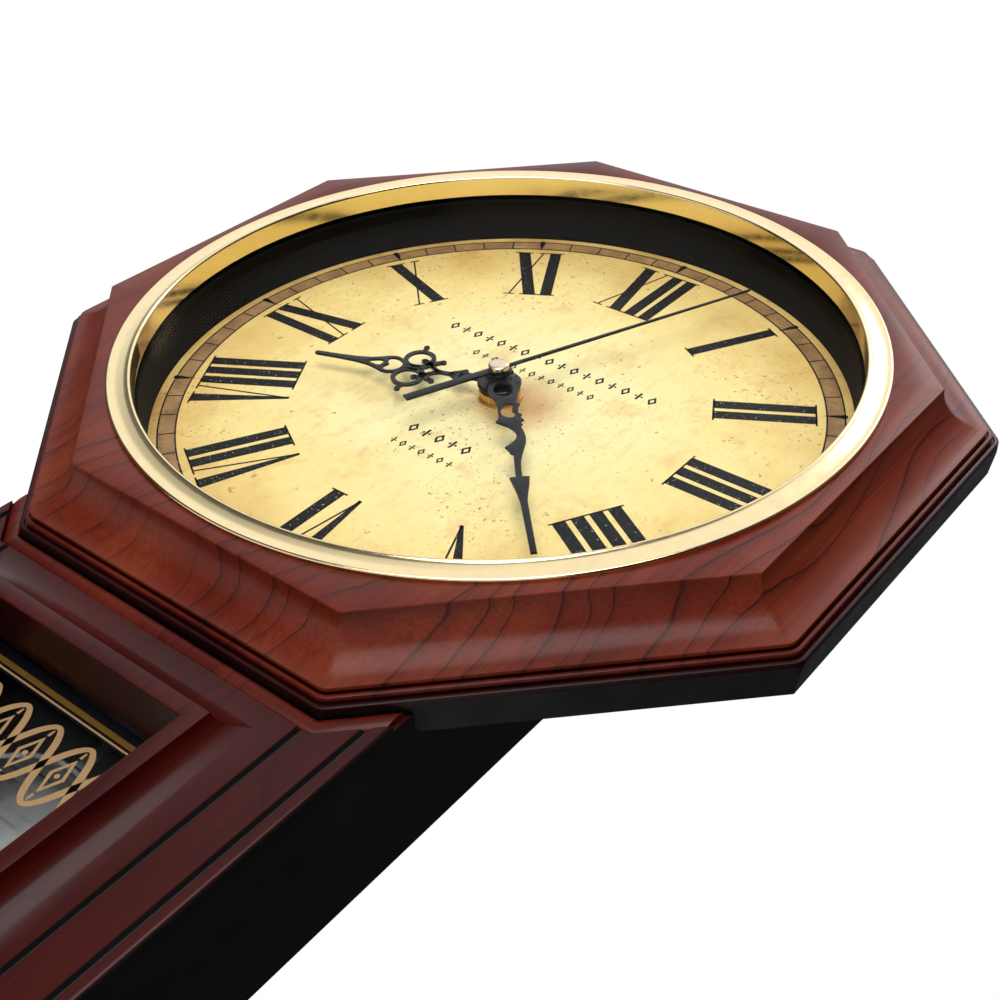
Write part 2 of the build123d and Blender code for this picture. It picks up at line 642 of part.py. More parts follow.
def hour_outline():
    """Maltese style hour hand, drawn pointing up: hub, scrolls, two rings, heart spade, tip."""
    face = Circle(HOUR_HUB_R) + hand_tip(5, 1.25, 24, 0.8)
    for s in (-1, 1):
        face += curl([(s * 0.2, 17.6, 0.6), (s * 1.5, 15.4, 0.75), (s * 2.9, 12.9, 0.95)])
        face += curl([(s * 0.1, 20.5, 0.6), (s * 0.9, 22.8, 0.65), (s * 2.3, 24.6, 0.75), (s * 3.9, 26.0, 0.9)])
        face += curl([(s * 6.0, 22.2, 1.1), (s * 3.9, 25.5, 1.1), (s * 5.15, 28.7, 1.1)])
        face += Pos(s * HOUR_RING_X, HOUR_RING_Y) * (Circle(5.6) - Circle(4.15))
        face += curl([(s * 10.9, 31.0, 0.9), (s * 13.6, 31.3, 1.0)])
    face += hand_tip(25, 1.6, 36, 1.5)
    spade = outline([(34.0, -1.0), (36.6, -4.6), (38.6, -5.3), (40.8, -5.0), (43.4, -3.7), (47.0, -2.3),
                     (52.0, -1.45), (HOUR_LEN - 1, -0.95), (HOUR_LEN - 1, 0.95), (52.0, 1.45), (47.0, 2.3),
                     (43.4, 3.7), (40.8, 5.0), (38.6, 5.3), (36.6, 4.6), (34.0, 1.0)])
    spade += Pos(0, HOUR_LEN - 1) * Circle(0.95)
    spade -= outline([(34.9, 0.0), (35.6, 2.0), (37.3, 3.5), (39.3, 4.0), (40.7, 3.5), (41.1, 2.3), (39.8, 0.0),
                      (41.1, -2.3), (40.7, -3.5), (39.3, -4.0), (37.3, -3.5), (35.6, -2.0)])
    spade -= outline([(42.0, 0.0), (43.4, 1.7), (45.6, 1.1), (48.2, 0.0), (45.6, -1.1), (43.4, -1.7)])
    return face + spade


def minute_outline():
    """Maltese style minute hand, drawn pointing up: looped hub, heart, teeth, crescent, arrow, tip."""
    right = [(5.2, 3.6), (6.8, 4.6), (9.2, 5.1), (11.6, 5.1), (14.0, 4.6), (16.2, 4.1), (18.6, 3.6), (19.3, 4.8),
             (20.6, 4.1), (24.4, 3.6), (25.4, 4.7), (26.7, 3.8), (28.5, 5.0), (29.3, 3.7), (31.0, 4.3), (31.6, 3.5),
             (34.4, 4.1), (38.0, 4.5), (41.2, 4.15), (44.4, 3.15), (47.3, 2.35), (50.9, 1.5), (58.7, 1.0),
             (58.9, 3.2), (63.0, 2.6), (70.9, 1.15), (MINUTE_LEN, 0.95)]
    left = [(MINUTE_LEN, -0.95), (70.9, -1.1), (63.0, -2.2), (58.8, -2.95), (58.7, -0.95), (50.9, -0.6),
            (46.9, -0.4), (46.2, -1.35), (42.9, -2.6), (42.2, -1.75), (40.6, 0.0), (38.8, 1.3), (36.6, 1.75),
            (34.2, 1.3), (31.8, -0.3), (30.0, -2.4), (28.5, -4.0), (27.1, -3.1), (22.3, -2.8), (19.4, -2.6),
            (16.6, -3.1), (14.0, -4.0), (11.6, -4.5), (9.2, -4.7), (6.8, -4.2), (5.2, -3.2)]
    heart = [(18.4, 1.6), (18.7, 0.3), (20.5, -1.2), (22.9, -1.95), (25.2, -1.6), (26.7, 0.1), (26.8, 1.7),
             (25.6, 2.7), (24.1, 2.5), (23.0, 1.8), (21.6, 2.0), (19.6, 2.6)]
    face = Circle(MINUTE_HUB_R) + outline([(0, 2.0)] + right + left + [(0, -2.0)])
    return face - Pos(-0.2, 10.1) * Ellipse(3.1, 4.3) - outline(heart)


def second_outline():
    face = Circle(2.6) + hand_tip(0, 0.55, SECOND_LEN, 0.35)
    return face + Pos(0, -SECOND_TAIL / 2) * Rectangle(1.1, SECOND_TAIL) \
        + Pos(0, -SECOND_TAIL + 8) * Rectangle(2.0, 16)


def hand(outline, bore, up, angle):
    body = slab(outline, DIAL_D + up, DIAL_D + up + HAND_T) - disc(bore, 0, FACE_D)
    return Rot(0, 0, -angle) * body


def make_cap():
    low = DIAL_D + SECOND_HAND_UP + HAND_T
    body = disc(CAP_R, low, low + 1.6)
    body = fillet(body.edges().group_by(Axis.Z)[-1], 0.5)
    return body - disc(SECOND_R, low - 1, low + 0.4)


# ---- pendulum ----------------------------------------------------------------------
ROD_BACK = PENDULUM_D - ROD_T / 2
ROD_FRONT = PENDULUM_D + ROD_T / 2


def make_pivot():
    pin = disc(PIVOT_R, ROD_BACK - 1.4, MOVE_REAR, 0, PIVOT_Y)
    return pin + disc(2.2, ROD_BACK - 2.0, ROD_BACK - 1.4, 0, PIVOT_Y)


def make_lever():
    """Swinging arm that hangs on the pivot pin and carries the drive magnet."""
    eye = ring(3.4, PIVOT_R + RUN, ROD_BACK - 1.2, MOVE_REAR - 0.3, 0, PIVOT_Y)
    length = PIVOT_Y - HOOK_Y
    arm = block(7.0, length, ROD_FRONT, ROD_FRONT + 1.2, 0, (PIVOT_Y + HOOK_Y) / 2)
    foot = disc(3.5, ROD_FRONT, ROD_FRONT + 1.2, 0, HOOK_Y)
    stud = disc(1.2, ROD_BACK - 0.6, ROD_FRONT, 0, HOOK_Y) + disc(1.7, ROD_BACK - 1.1, ROD_BACK - 0.6, 0, HOOK_Y)
    arm -= disc(PIVOT_R + RUN, 0, FACE_D, 0, PIVOT_Y)
    return eye + arm + foot + stud


def make_rod():
    top = HOOK_Y
    bottom = BOB_Y - BOB_R - 3
    strip = block(ROD_W, top - bottom, ROD_BACK, ROD_FRONT, 0, (top + bottom) / 2)
    strip += disc(3.4, ROD_BACK, ROD_FRONT, 0, top)
    strip -= disc(1.25, 0, FACE_D, 0, top)
    stem = Pos(0, bottom - 5, PENDULUM_D) * (Rot(90, 0, 0) * Cylinder(1.25, 12))
    return strip + stem


def make_bob():
    """Domed disc with a rolled rim and a turned ring, in front of the rod."""
    rim = ROD_FRONT
    edge, low, rise = BOB_R - 2.0, rim + 1.0, 2.2
    dome_r = (edge ** 2 + rise ** 2) / (2 * rise)
    half = edge / 2
    half_rise = math.sqrt(dome_r ** 2 - half ** 2) - dome_r + rise
    with BuildLine() as line:
        Polyline((0, low + rise), (0, rim), (BOB_R, rim), (BOB_R, rim + 0.8))
        ThreePointArc((BOB_R, rim + 0.8), (BOB_R - 0.5, rim + 1.3), (BOB_R - 1.0, rim + 1.3))
        Line((BOB_R - 1.0, rim + 1.3), (edge, low))
        ThreePointArc((edge, low), (half, low + half_rise), (0, low + rise))
    return turned(make_face(line.line.edges())).moved(Location((0, BOB_Y, 0)))


def make_rating_nut():
    y = BOB_Y - BOB_R - 7
    body = Pos(0, y, PENDULUM_D) * (Rot(90, 0, 0) * (Cylinder(4.0, 4.0) - Cylinder(1.25, 5.0)))
    for k in range(12):
        turn = math.radians(30 * k)
        x, z = 4.2 * math.sin(turn), 4.2 * math.cos(turn)
        body -= Pos(x, y, PENDULUM_D + z) * (Rot(90, 0, 0) * Cylinder(0.45, 5.0))
    return body


def screw_group(places, head_d, tip_d, **size):
    return Compound([screw(x, y, head_d, tip_d, **size) for x, y in places])


def main():
    save("head_frame", round_corners(make_head_frame()))
    save("head_shell", round_corners(make_head_shell()))
    save("bezel", make_bezel())
    save("dial_glass", disc(BEZEL_WALL_R, GLASS_FRONT_D - GLASS_T, GLASS_FRONT_D))
    save("well_ring", ring(BEZEL_WALL_R, WELL_R, DIAL_D, GLASS_FRONT_D - GLASS_T))
    save("dial", make_dial())
    save("drop_frame", make_drop_frame())
    save("rear_case", make_rear_case())
    save("back_panel", make_back_panel())
    save("window_glass", slab(window_face(4.0), GLASS_LOW_D - GLASS_T, GLASS_LOW_D))
    save("glass_retainer", make_retainer())
    save("retainer_screws", screw_group(RETAINER_SCREWS, GLASS_LOW_D - RETAINER_T, GLASS_LOW_D + 2.0))
    save("frame_screws", screw_group(FRAME_SCREWS, SKIRT_D, FLOOR_D + 9.0))
    save("shell_screws", screw_group(SHELL_SCREWS, FLOOR_D - 1.8, SKIRT_D - 9.0, head_r=2.4))
    save("panel_screws", screw_group(PANEL_SCREWS, 1.5, 12.0))
    save("hanger_plate", make_hanger_plate())
    save("hanger_rivets", make_rivets())
    save("movement_housing", make_housing())
    save("movement_cover", make_cover())
    save("cover_screws", screw_group(COVER_SCREWS, MOVE_REAR, MOVE_REAR + SPLIT + 4, head_r=1.9, shank_r=0.95))
    save("shaft_bushing", make_bushing())
    save("dial_washer", ring(7.6, BUSH_R, DIAL_D, DIAL_D + 0.8))
    save("shaft_nut", make_nut())
    save("circuit_board", make_circuit_board())
    save("step_motor_coil", make_coil(-23.0, 4.0, 20.0, MOVE_REAR + MOVE_WALL, MOVE_REAR + 8.5))
    save("pendulum_coil", make_coil(0.0, -23.0, 10.0, MOVE_REAR + MOVE_WALL, MOVE_REAR + 8.5))
    save("battery", make_battery())
    save("battery_contact_plus", make_contact_plus())
    save("battery_contact_minus", make_contact_minus())
    save("pendulum_pivot", make_pivot())
    save("hour_wheel", make_hour_wheel())
    save("hour_hand", hand(hour_outline(), HOUR_PIPE_R, HOUR_HAND_UP, HOUR_AT))
    save("minute_pipe", make_minute_pipe())
    save("minute_hand", hand(minute_outline(), MINUTE_PIPE_R, MINUTE_HAND_UP, MINUTE_AT))
    save("second_arbor", make_second_arbor())
    save("second_hand", hand(second_outline(), SECOND_R, SECOND_HAND_UP, SECOND_AT))
    save("second_cap", make_cap())
    save("setting_wheel", make_setting_wheel())
    save("setting_knob", make_knob())
    save("pendulum_lever", make_lever())
    save("drive_magnet", disc(3.0, ROD_BACK - 1.6, ROD_FRONT, 0, PIVOT_Y - MAGNET_BELOW))
    save("pendulum_rod", make_rod())
    save("pendulum_bob", make_bob())
    save("rating_nut", make_rating_nut())


main()
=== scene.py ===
"""Looks of the octagon drop-case wall clock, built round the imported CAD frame.

Shapes are drawn looking at the dial, in millimetres: x to the right and y up from the dial's
centre, d out of the wall. row() turns that into the row frame in metres.
"""
import math
import random

import bmesh
import bpy
from mathutils import Euler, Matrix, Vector


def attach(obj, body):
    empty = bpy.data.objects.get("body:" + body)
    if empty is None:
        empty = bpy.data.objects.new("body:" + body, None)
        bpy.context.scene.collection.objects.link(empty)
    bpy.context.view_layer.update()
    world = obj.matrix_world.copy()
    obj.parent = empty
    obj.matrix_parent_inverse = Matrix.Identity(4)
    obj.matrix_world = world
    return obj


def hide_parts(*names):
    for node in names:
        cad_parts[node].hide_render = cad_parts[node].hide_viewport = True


MM = 0.001
HANG_UP = 86.0             # hanging keyhole above the dial's centre
ROUND = 256                # segments round the head
FINE_ROUND = 512           # segments round the bezel and the well
HUB_STEPS = 64             # segments round the hands' hubs and the centre cap

# head
FACE_D = 65.0
OPENING_R = 121.0
CREASE_A = 129.6
LAND_A = 143.3
LAND_D = 52.6
BEAD_STEP = 1.75
BEAD_OUT = 1.85
FACE_T = 5.4
CORNER_R = 5.2             # a little over the CAD corner, so that the beads stay inside it
WELL_TOP_D = 57.4

# bezel, well and dial
BEZEL_R = 125.0
BORE_R = 117.1
RIM_D = 66.9
GLASS_D = 59.4
WELL_R = 116.4
WELL_OUT_R = 120.6
DIAL_D = 40.8
DIAL_R = 119.5
TRACK_IN = 107.5
TRACK_OUT = 113.3
NUMERAL_IN = 70.6
NUMERAL_OUT = 104.4

# drop case
WINDOW_HALF = 39.75
WINDOW_TOP = -172.0
WINDOW_BOTTOM = -264.0
WINDOW_CLIP = 16.0
BORDER = 37.75
FIELD_D = 46.6
RIDGE_D = 54.75
RIDGE_W = 5.25
COVE_W = 13.5
CASE_FRONT_D = 41.4
LOW_GLASS_D = 36.0
CUT_A = 147.5
BEAD_W = 4.9
FIELD_TOP = -118.0          # hidden behind the head

# hands
HAND_T = 0.8
HOUR_AT = 250.5
MINUTE_AT = 135.4
SECOND_AT = 22.6
HOUR_D = DIAL_D + 5.3
MINUTE_D = DIAL_D + 8.5
SECOND_D = DIAL_D + 10.6

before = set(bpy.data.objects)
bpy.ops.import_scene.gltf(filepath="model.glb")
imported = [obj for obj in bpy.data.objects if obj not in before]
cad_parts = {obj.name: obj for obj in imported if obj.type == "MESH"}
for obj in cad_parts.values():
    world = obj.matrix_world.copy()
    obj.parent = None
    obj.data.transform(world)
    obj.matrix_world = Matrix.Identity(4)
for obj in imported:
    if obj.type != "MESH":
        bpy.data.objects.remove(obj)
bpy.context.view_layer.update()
rng = random.Random(12)


# ---- drawing helpers ---------------------------------------------------------------
def row(point):
    x, y, d = point
    return Vector((x * MM, -d * MM, (y - HANG_UP) * MM))


def mesh_data(name, points, faces):
    """Mesh data from points in the drawing frame."""
    mesh = bpy.data.meshes.new(name)
    mesh.from_pydata([row(p) for p in points], [], faces)
    return mesh


def face_outwards(mesh):
    work = bmesh.new()
    work.from_mesh(mesh)
    bmesh.ops.recalc_face_normals(work, faces=work.faces)
    work.to_mesh(mesh)
    work.free()


def add_piece(name, points, faces, materials, body, replaces=(), smooth=32, face_slots=None):
    """A mesh piece from points in the drawing frame, riding on a body."""
    mesh = mesh_data(name, points, faces)
    for material in materials:
        mesh.materials.append(material)
    if face_slots:
        mesh.polygons.foreach_set("material_index", face_slots)
    face_outwards(mesh)
    return register(bpy.data.objects.new(name, mesh), body, replaces, smooth)


def register(obj, body, replaces=(), smooth=32):
    """Links a new object, shades it and hands it to the frame."""
    bpy.context.scene.collection.objects.link(obj)
    obj.data.shade_smooth()
    obj.data.set_sharp_from_angle(angle=math.radians(smooth))
    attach(obj, body)
    if replaces:
        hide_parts(*replaces)
    return obj


def skin(loops, closed=True):
    """Points and quads of a surface through loops of equal length."""
    count = len(loops[0])
    points = [p for loop in loops for p in loop]
    faces = []
    for i in range(len(loops) if closed else len(loops) - 1):
        a, b = i * count, ((i + 1) % len(loops)) * count
        for k in range(count):
            n = (k + 1) % count
            faces.append((a + k, a + n, b + n, b + k))
    return points, faces


def circle_loop(radius, depth, count=ROUND, x=0.0, y=0.0):
    turns = [2 * math.pi * k / count for k in range(count)]
    return [(x + radius * math.cos(t), y + radius * math.sin(t), depth) for t in turns]


def octagon_stations():
    """Angles round the head: even steps, with closer ones at the eight corners."""
    near = [0.0, 0.14, 0.28, 0.42, 0.56, 0.70, 0.84, 1.0]
    side = [-22.5 + v for v in near] + [-21 + 1.5 * k for k in range(29)] + [22.5 - v for v in near[:0:-1]]
    return [math.radians(45 * k + v) for k in range(8) for v in side]


STATIONS = octagon_stations()


def head_circle(radius, depth):
    return [(radius * math.cos(t), radius * math.sin(t), depth) for t in STATIONS]


def octagon_loop(apothem, depth, round_r=0.4):
    """Octagon with flats up and down and rounded corners."""
    points = []
    eighth = math.pi / 8
    centre = (apothem - round_r) / math.cos(eighth)
    for t in STATIONS:
        off = (t + eighth) % (2 * eighth) - eighth
        left = eighth - abs(off)
        if apothem * math.tan(abs(off)) <= (apothem - round_r) * math.tan(eighth):
            radius = apothem / math.cos(off)
        else:
            rise = max(round_r ** 2 - (centre * math.sin(left)) ** 2, 0.0)
            radius = centre * math.cos(left) + math.sqrt(rise)
        points.append((radius * math.cos(t), radius * math.sin(t), depth))
    return points


def lathe(name, profile, materials, body, replaces=(), x=0.0, y=0.0, smooth=32, count=ROUND):
    """A turned piece from a closed profile of (radius, depth)."""
    loops = [circle_loop(r, d, count, x, y) for r, d in profile]
    points, faces = skin(loops)
    return add_piece(name, points, faces, materials, body, replaces, smooth)


def arc(cx, cy, rx, ry, start, end, steps):
    """Points of an elliptical arc, angles in degrees."""
    angles = [math.radians(start + (end - start) * k / steps) for k in range(steps + 1)]
    return [(cx + rx * math.cos(a), cy + ry * math.sin(a)) for a in angles]


class Slabs:
    """Gathers flat shapes of one thickness into one mesh."""

    def __init__(self, low, high, turn=0.0, x=0.0, y=0.0):
        self.low, self.high = low, high
        self.turn, self.x, self.y = math.radians(turn), x, y
        self.points, self.faces = [], []

    def spot(self, u, v):
        """u to the right and v along the shape's own direction, which is turned clockwise from twelve."""
        s, c = math.sin(self.turn), math.cos(self.turn)
        return self.x + u * c + v * s, self.y - u * s + v * c

    def shape(self, outline):
        base, n = len(self.points), len(outline)
        for depth in (self.low, self.high):
            self.points += [(*self.spot(u, v), depth) for u, v in outline]
        self.faces.append(tuple(base + k for k in range(n)))
        self.faces.append(tuple(base + n + k for k in range(n)))
        for k in range(n):
            m = (k + 1) % n
            self.faces.append((base + k, base + m, base + n + m, base + n + k))

    def ring(self, outer, inner):
        """A shape with a hole: two outlines with the same number of points."""
        base, n = len(self.points), len(outer)
        for depth in (self.low, self.high):
            self.points += [(*self.spot(u, v), depth) for u, v in outer]
            self.points += [(*self.spot(u, v), depth) for u, v in inner]
        for k in range(n):
            m = (k + 1) % n
            for a, b in ((0, n), (2 * n, 3 * n)):
                self.faces.append((base + a + k, base + a + m, base + b + m, base + b + k))
            for a, b in ((0, 2 * n), (n, 3 * n)):
                self.faces.append((base + a + k, base + a + m, base + b + m, base + b + k))

    def disc(self, u, v, radius, steps=28):
        self.shape(arc(u, v, radius, radius, 0, 360 - 360 / steps, steps - 1))

    def bar(self, u0, v0, u1, v1, w0, w1):
        """A straight tapered bar between two points, with half widths."""
        dx, dy = u1 - u0, v1 - v0
        length = math.hypot(dx, dy)
        px, py = -dy / length, dx / length
        self.shape([(u0 + px * w0, v0 + py * w0), (u0 - px * w0, v0 - py * w0),
                    (u1 - px * w1, v1 - py * w1), (u1 + px * w1, v1 + py * w1)])

    def stroke(self, path, steps=6):
        """A smooth stroke through (u, v, half width) points."""
        line = smooth_path(path, steps)
        left, right = [], []
        for k, (u, v, w) in enumerate(line):
            a, b = line[max(k - 1, 0)], line[min(k + 1, len(line) - 1)]
            dx, dy = b[0] - a[0], b[1] - a[1]
            length = math.hypot(dx, dy)
            left.append((u - dy / length * w, v + dx / length * w))
            right.append((u + dy / length * w, v - dx / length * w))
        self.shape(left + right[::-1])

    def piece(self, name, materials, body, replaces=(), smooth=32):
        return add_piece(name, self.points, self.faces, materials, body, replaces, smooth)


def smooth_path(path, steps):
    """Catmull-Rom through the points, whatever number of values each has."""
    line = []
    for k in range(len(path) - 1):
        p0, p1 = path[max(k - 1, 0)], path[k]
        p2, p3 = path[k + 1], path[min(k + 2, len(path) - 1)]
        for s in range(steps):
            t = s / steps
            line.append(tuple(0.5 * (2 * b + (c - a) * t + (2 * a - 5 * b + 4 * c - d) * t ** 2
                                     + (3 * b - a - 3 * c + d) * t ** 3)
                              for a, b, c, d in zip(p0, p1, p2, p3)))
    line.append(tuple(path[-1]))
    return line


# ---- material helpers --------------------------------------------------------------
class Paint:
    """A node material with short calls to add and join nodes."""

    def __init__(self, name, base=(0.5, 0.5, 0.5), rough=0.5, metallic=0.0, **sockets):
        self.material = bpy.data.materials.new(name)
        self.material.use_nodes = True
        self.tree = self.material.node_tree
        self.shader = self.tree.nodes["Principled BSDF"]
        self.out = self.tree.nodes["Material Output"]
        self.set(self.shader, {"Base Color": (*base, 1.0), "Roughness": rough, "Metallic": metallic})
        self.set(self.shader, {k.replace("_", " "): v for k, v in sockets.items()})
        self.place = self.node("ShaderNodeTexCoord").outputs["Object"]

    def set(self, node, values):
        for key, value in values.items():
            if isinstance(value, bpy.types.NodeSocket):
                self.tree.links.new(value, node.inputs[key])
            else:
                node.inputs[key].default_value = value

    def node(self, kind, values=None, **settings):
        node = self.tree.nodes.new(kind)
        for key, value in settings.items():
            setattr(node, key, value)
        self.set(node, values or {})
        return node

    def spread(self, scale, shift=(0, 0, 0)):
        """Object coordinates scaled for a texture, per metre."""
        values = {"Vector": self.place, "Scale": scale, "Location": shift}
        return self.node("ShaderNodeMapping", values).outputs[0]

    def noise(self, vector, detail=3.0, rough=0.55):
        return self.node("ShaderNodeTexNoise", {"Vector": vector, "Scale": 1.0, "Detail": detail,
                                                "Roughness": rough}).outputs["Fac"]

    def math(self, operation, a, b=0.0, c=0.0):
        return self.node("ShaderNodeMath", {0: a, 1: b, 2: c}, operation=operation).outputs[0]

    def ramp(self, value, *stops, interpolation="LINEAR"):
        node = self.node("ShaderNodeValToRGB", {"Fac": value})
        node.color_ramp.interpolation = interpolation
        while len(node.color_ramp.elements) < len(stops):
            node.color_ramp.elements.new(0.5)
        for element, (place, colour) in zip(node.color_ramp.elements, stops):
            element.position = place
            shade = colour if isinstance(colour, tuple) else (colour,) * 3
            element.color = (*shade, 1.0)
        return node.outputs["Color"]

    def mix(self, factor, a, b, blend="MIX"):
        node = self.node("ShaderNodeMix", data_type="RGBA", blend_type=blend)
        for key, value in ((0, factor), (6, a), (7, b)):
            if isinstance(value, bpy.types.NodeSocket):
                self.tree.links.new(value, node.inputs[key])
            else:
                node.inputs[key].default_value = (*value, 1.0) if isinstance(value, tuple) else value
        return node.outputs[2]

    def bump(self, height, strength, distance):
        node = self.node("ShaderNodeBump", {"Height": height, "Strength": strength, "Distance": distance})
        self.set(self.shader, {"Normal": node.outputs[0]})

    def wear(self, low, high, scale=60.0):
        """Roughness that varies a little over the surface."""
        value = self.noise(self.spread((scale,) * 3), detail=4)
        self.set(self.shader, {"Roughness": self.ramp(value, (0.3, low), (0.7, high))})


def wood_paint(name="veneer_cherry", tone=1.0):
    """Satin cherry veneer print: fine fibre, flowing dark year lines, red and brown drifts."""
    p = Paint(name, rough=0.3, Specular_IOR_Level=0.16, Coat_Weight=0.06, Coat_Roughness=0.14)
    where = p.node("ShaderNodeSeparateXYZ", {"Vector": p.spread((1, 1, 1))})
    across = p.math("ADD", where.outputs["X"], p.math("MULTIPLY", where.outputs["Y"], 0.35))
    sway = p.noise(p.spread((9, 9, 7)), detail=1.5, rough=0.45)
    drift = p.noise(p.spread((38, 38, 20), (4, 2, 1)), detail=2.0)
    bend = p.math("ADD", p.math("MULTIPLY", sway, 0.13), p.math("MULTIPLY", drift, 0.010))
    lane = p.math("ADD", across, bend)
    uneven = p.math("MULTIPLY", p.math("SINE", p.math("MULTIPLY", lane, 210.0)), 0.34)
    ring = p.math("FRACT", p.math("ADD", p.math("DIVIDE", lane, 0.0098), uneven))
    line = p.ramp(ring, (0.0, 1.0), (0.025, 0.85), (0.07, 0.34), (0.30, 0.12), (0.62, 0.0), (0.965, 0.06),
                  (1.0, 1.0))
    patch = p.ramp(p.noise(p.spread((24, 24, 10), (1, 5, 3)), detail=3), (0.36, 0.10), (0.58, 1.0))
    line = p.mix(1.0, line, patch, "MULTIPLY")
    fibre = p.noise(p.spread((1100, 1100, 13)), detail=4, rough=0.6)
    cloud = p.noise(p.spread((24, 24, 11), (7, 0, 2)), detail=4, rough=0.6)
    shades = ((0.28, (0.082, 0.0080, 0.0034)), (0.50, (0.145, 0.0175, 0.0056)), (0.72, (0.21, 0.035, 0.010)))
    # tone below 1 gives darker copies of the same veneer, which stand in for the wood in shade
    body = p.ramp(cloud, *[(at, (r * tone, g * tone ** 2, b * tone ** 2)) for at, (r, g, b) in shades])
    body = p.mix(p.ramp(fibre, (0.42, 0.0), (0.74, 0.5)), body, (0.034 * tone, 0.0036 * tone, 0.0022 * tone))
    colour = p.mix(p.mix(1.0, line, (0.80, 0.80, 0.80), "MULTIPLY"), body, (0.0045, 0.0013, 0.0016))
    p.set(p.shader, {"Base Color": colour})
    rough = p.ramp(cloud, (0.3, 0.30), (0.7, 0.40))
    p.set(p.shader, {"Roughness": rough})
    p.bump(fibre, 0.04, 0.0002)
    return p.material


def black_plastic(name="moulded_black", shade=0.0045, low=0.30, high=0.44):
    p = Paint(name, (shade, shade * 0.93, shade * 1.1), 0.35)
    fine = p.noise(p.spread((2600,) * 3), detail=2)
    tone = p.noise(p.spread((35,) * 3), detail=4)
    p.set(p.shader, {"Base Color": p.mix(tone, (shade * 0.7,) * 3, (shade * 1.5, shade * 1.45, shade * 1.6))})
    p.wear(low, high)
    p.bump(fine, 0.12, 0.0002)
    return p.material


def metal(name, colour, low, high, streak=None, bump=0.03):
    """Metal with small changes of tone and polish, brushed along one direction if streak is given."""
    p = Paint(name, colour, low, 1.0)
    scale = streak or (220, 220, 220)
    grain = p.noise(p.spread(scale), detail=4, rough=0.6)
    dark = tuple(c * 0.82 for c in colour)
    p.set(p.shader, {"Base Color": p.mix(grain, dark, colour)})
    p.set(p.shader, {"Roughness": p.ramp(grain, (0.3, low), (0.7, high))})
    p.bump(grain, bump, 0.0002)
    return p.material


def plain(name, colour, low, high, metallic=0.0, mottle=0.18, scale=90.0, **sockets):
    """Moulded or painted stock with a faint mottle."""
    p = Paint(name, colour, low, metallic, **sockets)
    tone = p.noise(p.spread((scale,) * 3), detail=5)
    dark = tuple(c * (1 - mottle) for c in colour)
    p.set(p.shader, {"Base Color": p.mix(tone, dark, colour)})
    p.wear(low, high)
    return p.material


def board_paint():
    """Dark pressed hardboard with short fibres."""
    p = Paint("back_hardboard", (0.03, 0.022, 0.017), 0.6)
    tone = p.noise(p.spread((420, 420, 160)), detail=6, rough=0.7)
    p.set(p.shader, {"Base Color": p.ramp(tone, (0.3, (0.012, 0.009, 0.007)), (0.7, (0.045, 0.032, 0.024)))})
    p.wear(0.5, 0.68)
    p.bump(tone, 0.25, 0.0003)
    return p.material


def dial_paint():
    """Aged cream dial card, mottled and specked: bright in the middle and browner to the edge, painted light
    in the middle and painted shade at the rim under the well.
    """
    p = Paint("dial_aged_card", rough=0.55)
    # Spherical fall-off from the middle: painted light in the middle, painted shade at the rim under the well
    centre = p.spread((7.6, 0, 7.6), (0, 0, HANG_UP * MM * 7.6))
    glow = p.node("ShaderNodeTexGradient", {"Vector": centre}, gradient_type="SPHERICAL").outputs["Fac"]
    warp = p.noise(p.spread((26, 26, 26)), detail=5, rough=0.62)
    level = p.math("ADD", glow, p.math("MULTIPLY", p.math("SUBTRACT", warp, 0.5), 0.7))
    base = p.ramp(level, (0.02, (0.52, 0.27, 0.055)), (0.16, (0.80, 0.54, 0.165)), (0.40, (0.94, 0.73, 0.28)),
                  (0.75, (0.96, 0.83, 0.42)))
    brush = p.noise(p.spread((330, 330, 120), (5, 0, 1)), detail=6, rough=0.75)
    base = p.mix(p.ramp(brush, (0.50, 0.0), (0.72, 0.5)), base, (0.76, 0.50, 0.17))
    stain = p.ramp(p.noise(p.spread((55, 55, 55), (3, 0, 8)), detail=6, rough=0.7), (0.53, 0.0), (0.70, 0.6))
    base = p.mix(stain, base, (0.72, 0.43, 0.13))
    halo_at = p.spread((44, 0, 44), (-0.40, 0, HANG_UP * MM * 44 - 0.02))
    halo = p.node("ShaderNodeTexGradient", {"Vector": halo_at}, gradient_type="SPHERICAL").outputs["Fac"]
    halo = p.ramp(halo, (0.0, 0.0), (0.9, 1.0), interpolation="EASE")
    halo = p.math("MULTIPLY", halo, p.math("ADD", warp, 0.25))
    base = p.mix(halo, base, (0.50, 0.20, 0.045))
    crowd = p.ramp(p.noise(p.spread((17, 17, 17), (2, 0, 6)), detail=2), (0.42, 0.0), (0.62, 1.0))
    speck = p.ramp(p.noise(p.spread((640, 640, 640)), detail=2.0, rough=0.7), (0.645, 0.0), (0.675, 0.9))
    base = p.mix(p.mix(1.0, speck, crowd, "MULTIPLY"), base, (0.16, 0.08, 0.03))
    freckle = p.noise(p.spread((230, 230, 230), (9, 0, 4)), detail=3, rough=0.75)
    freckle = p.ramp(freckle, (0.67, 0.0), (0.71, 0.75))
    base = p.mix(freckle, base, (0.42, 0.21, 0.07))
    p.set(p.shader, {"Base Color": base})
    return p.material


def ink_paint():
    """Black print with pale pinholes."""
    p = Paint("dial_ink", (0.012, 0.012, 0.013), 0.5, Specular_IOR_Level=0.12)
    dots = p.noise(p.spread((1150, 1150, 1150)), detail=1.5, rough=0.6)
    flecks = p.ramp(dots, (0.675, 0.0), (0.70, 0.95))
    worn = p.noise(p.spread((300, 300, 300), (2, 2, 2)), detail=5)
    base = p.mix(worn, (0.003, 0.003, 0.004), (0.014, 0.013, 0.014))
    p.set(p.shader, {"Base Color": p.mix(flecks, base, (0.75, 0.70, 0.55))})
    return p.material


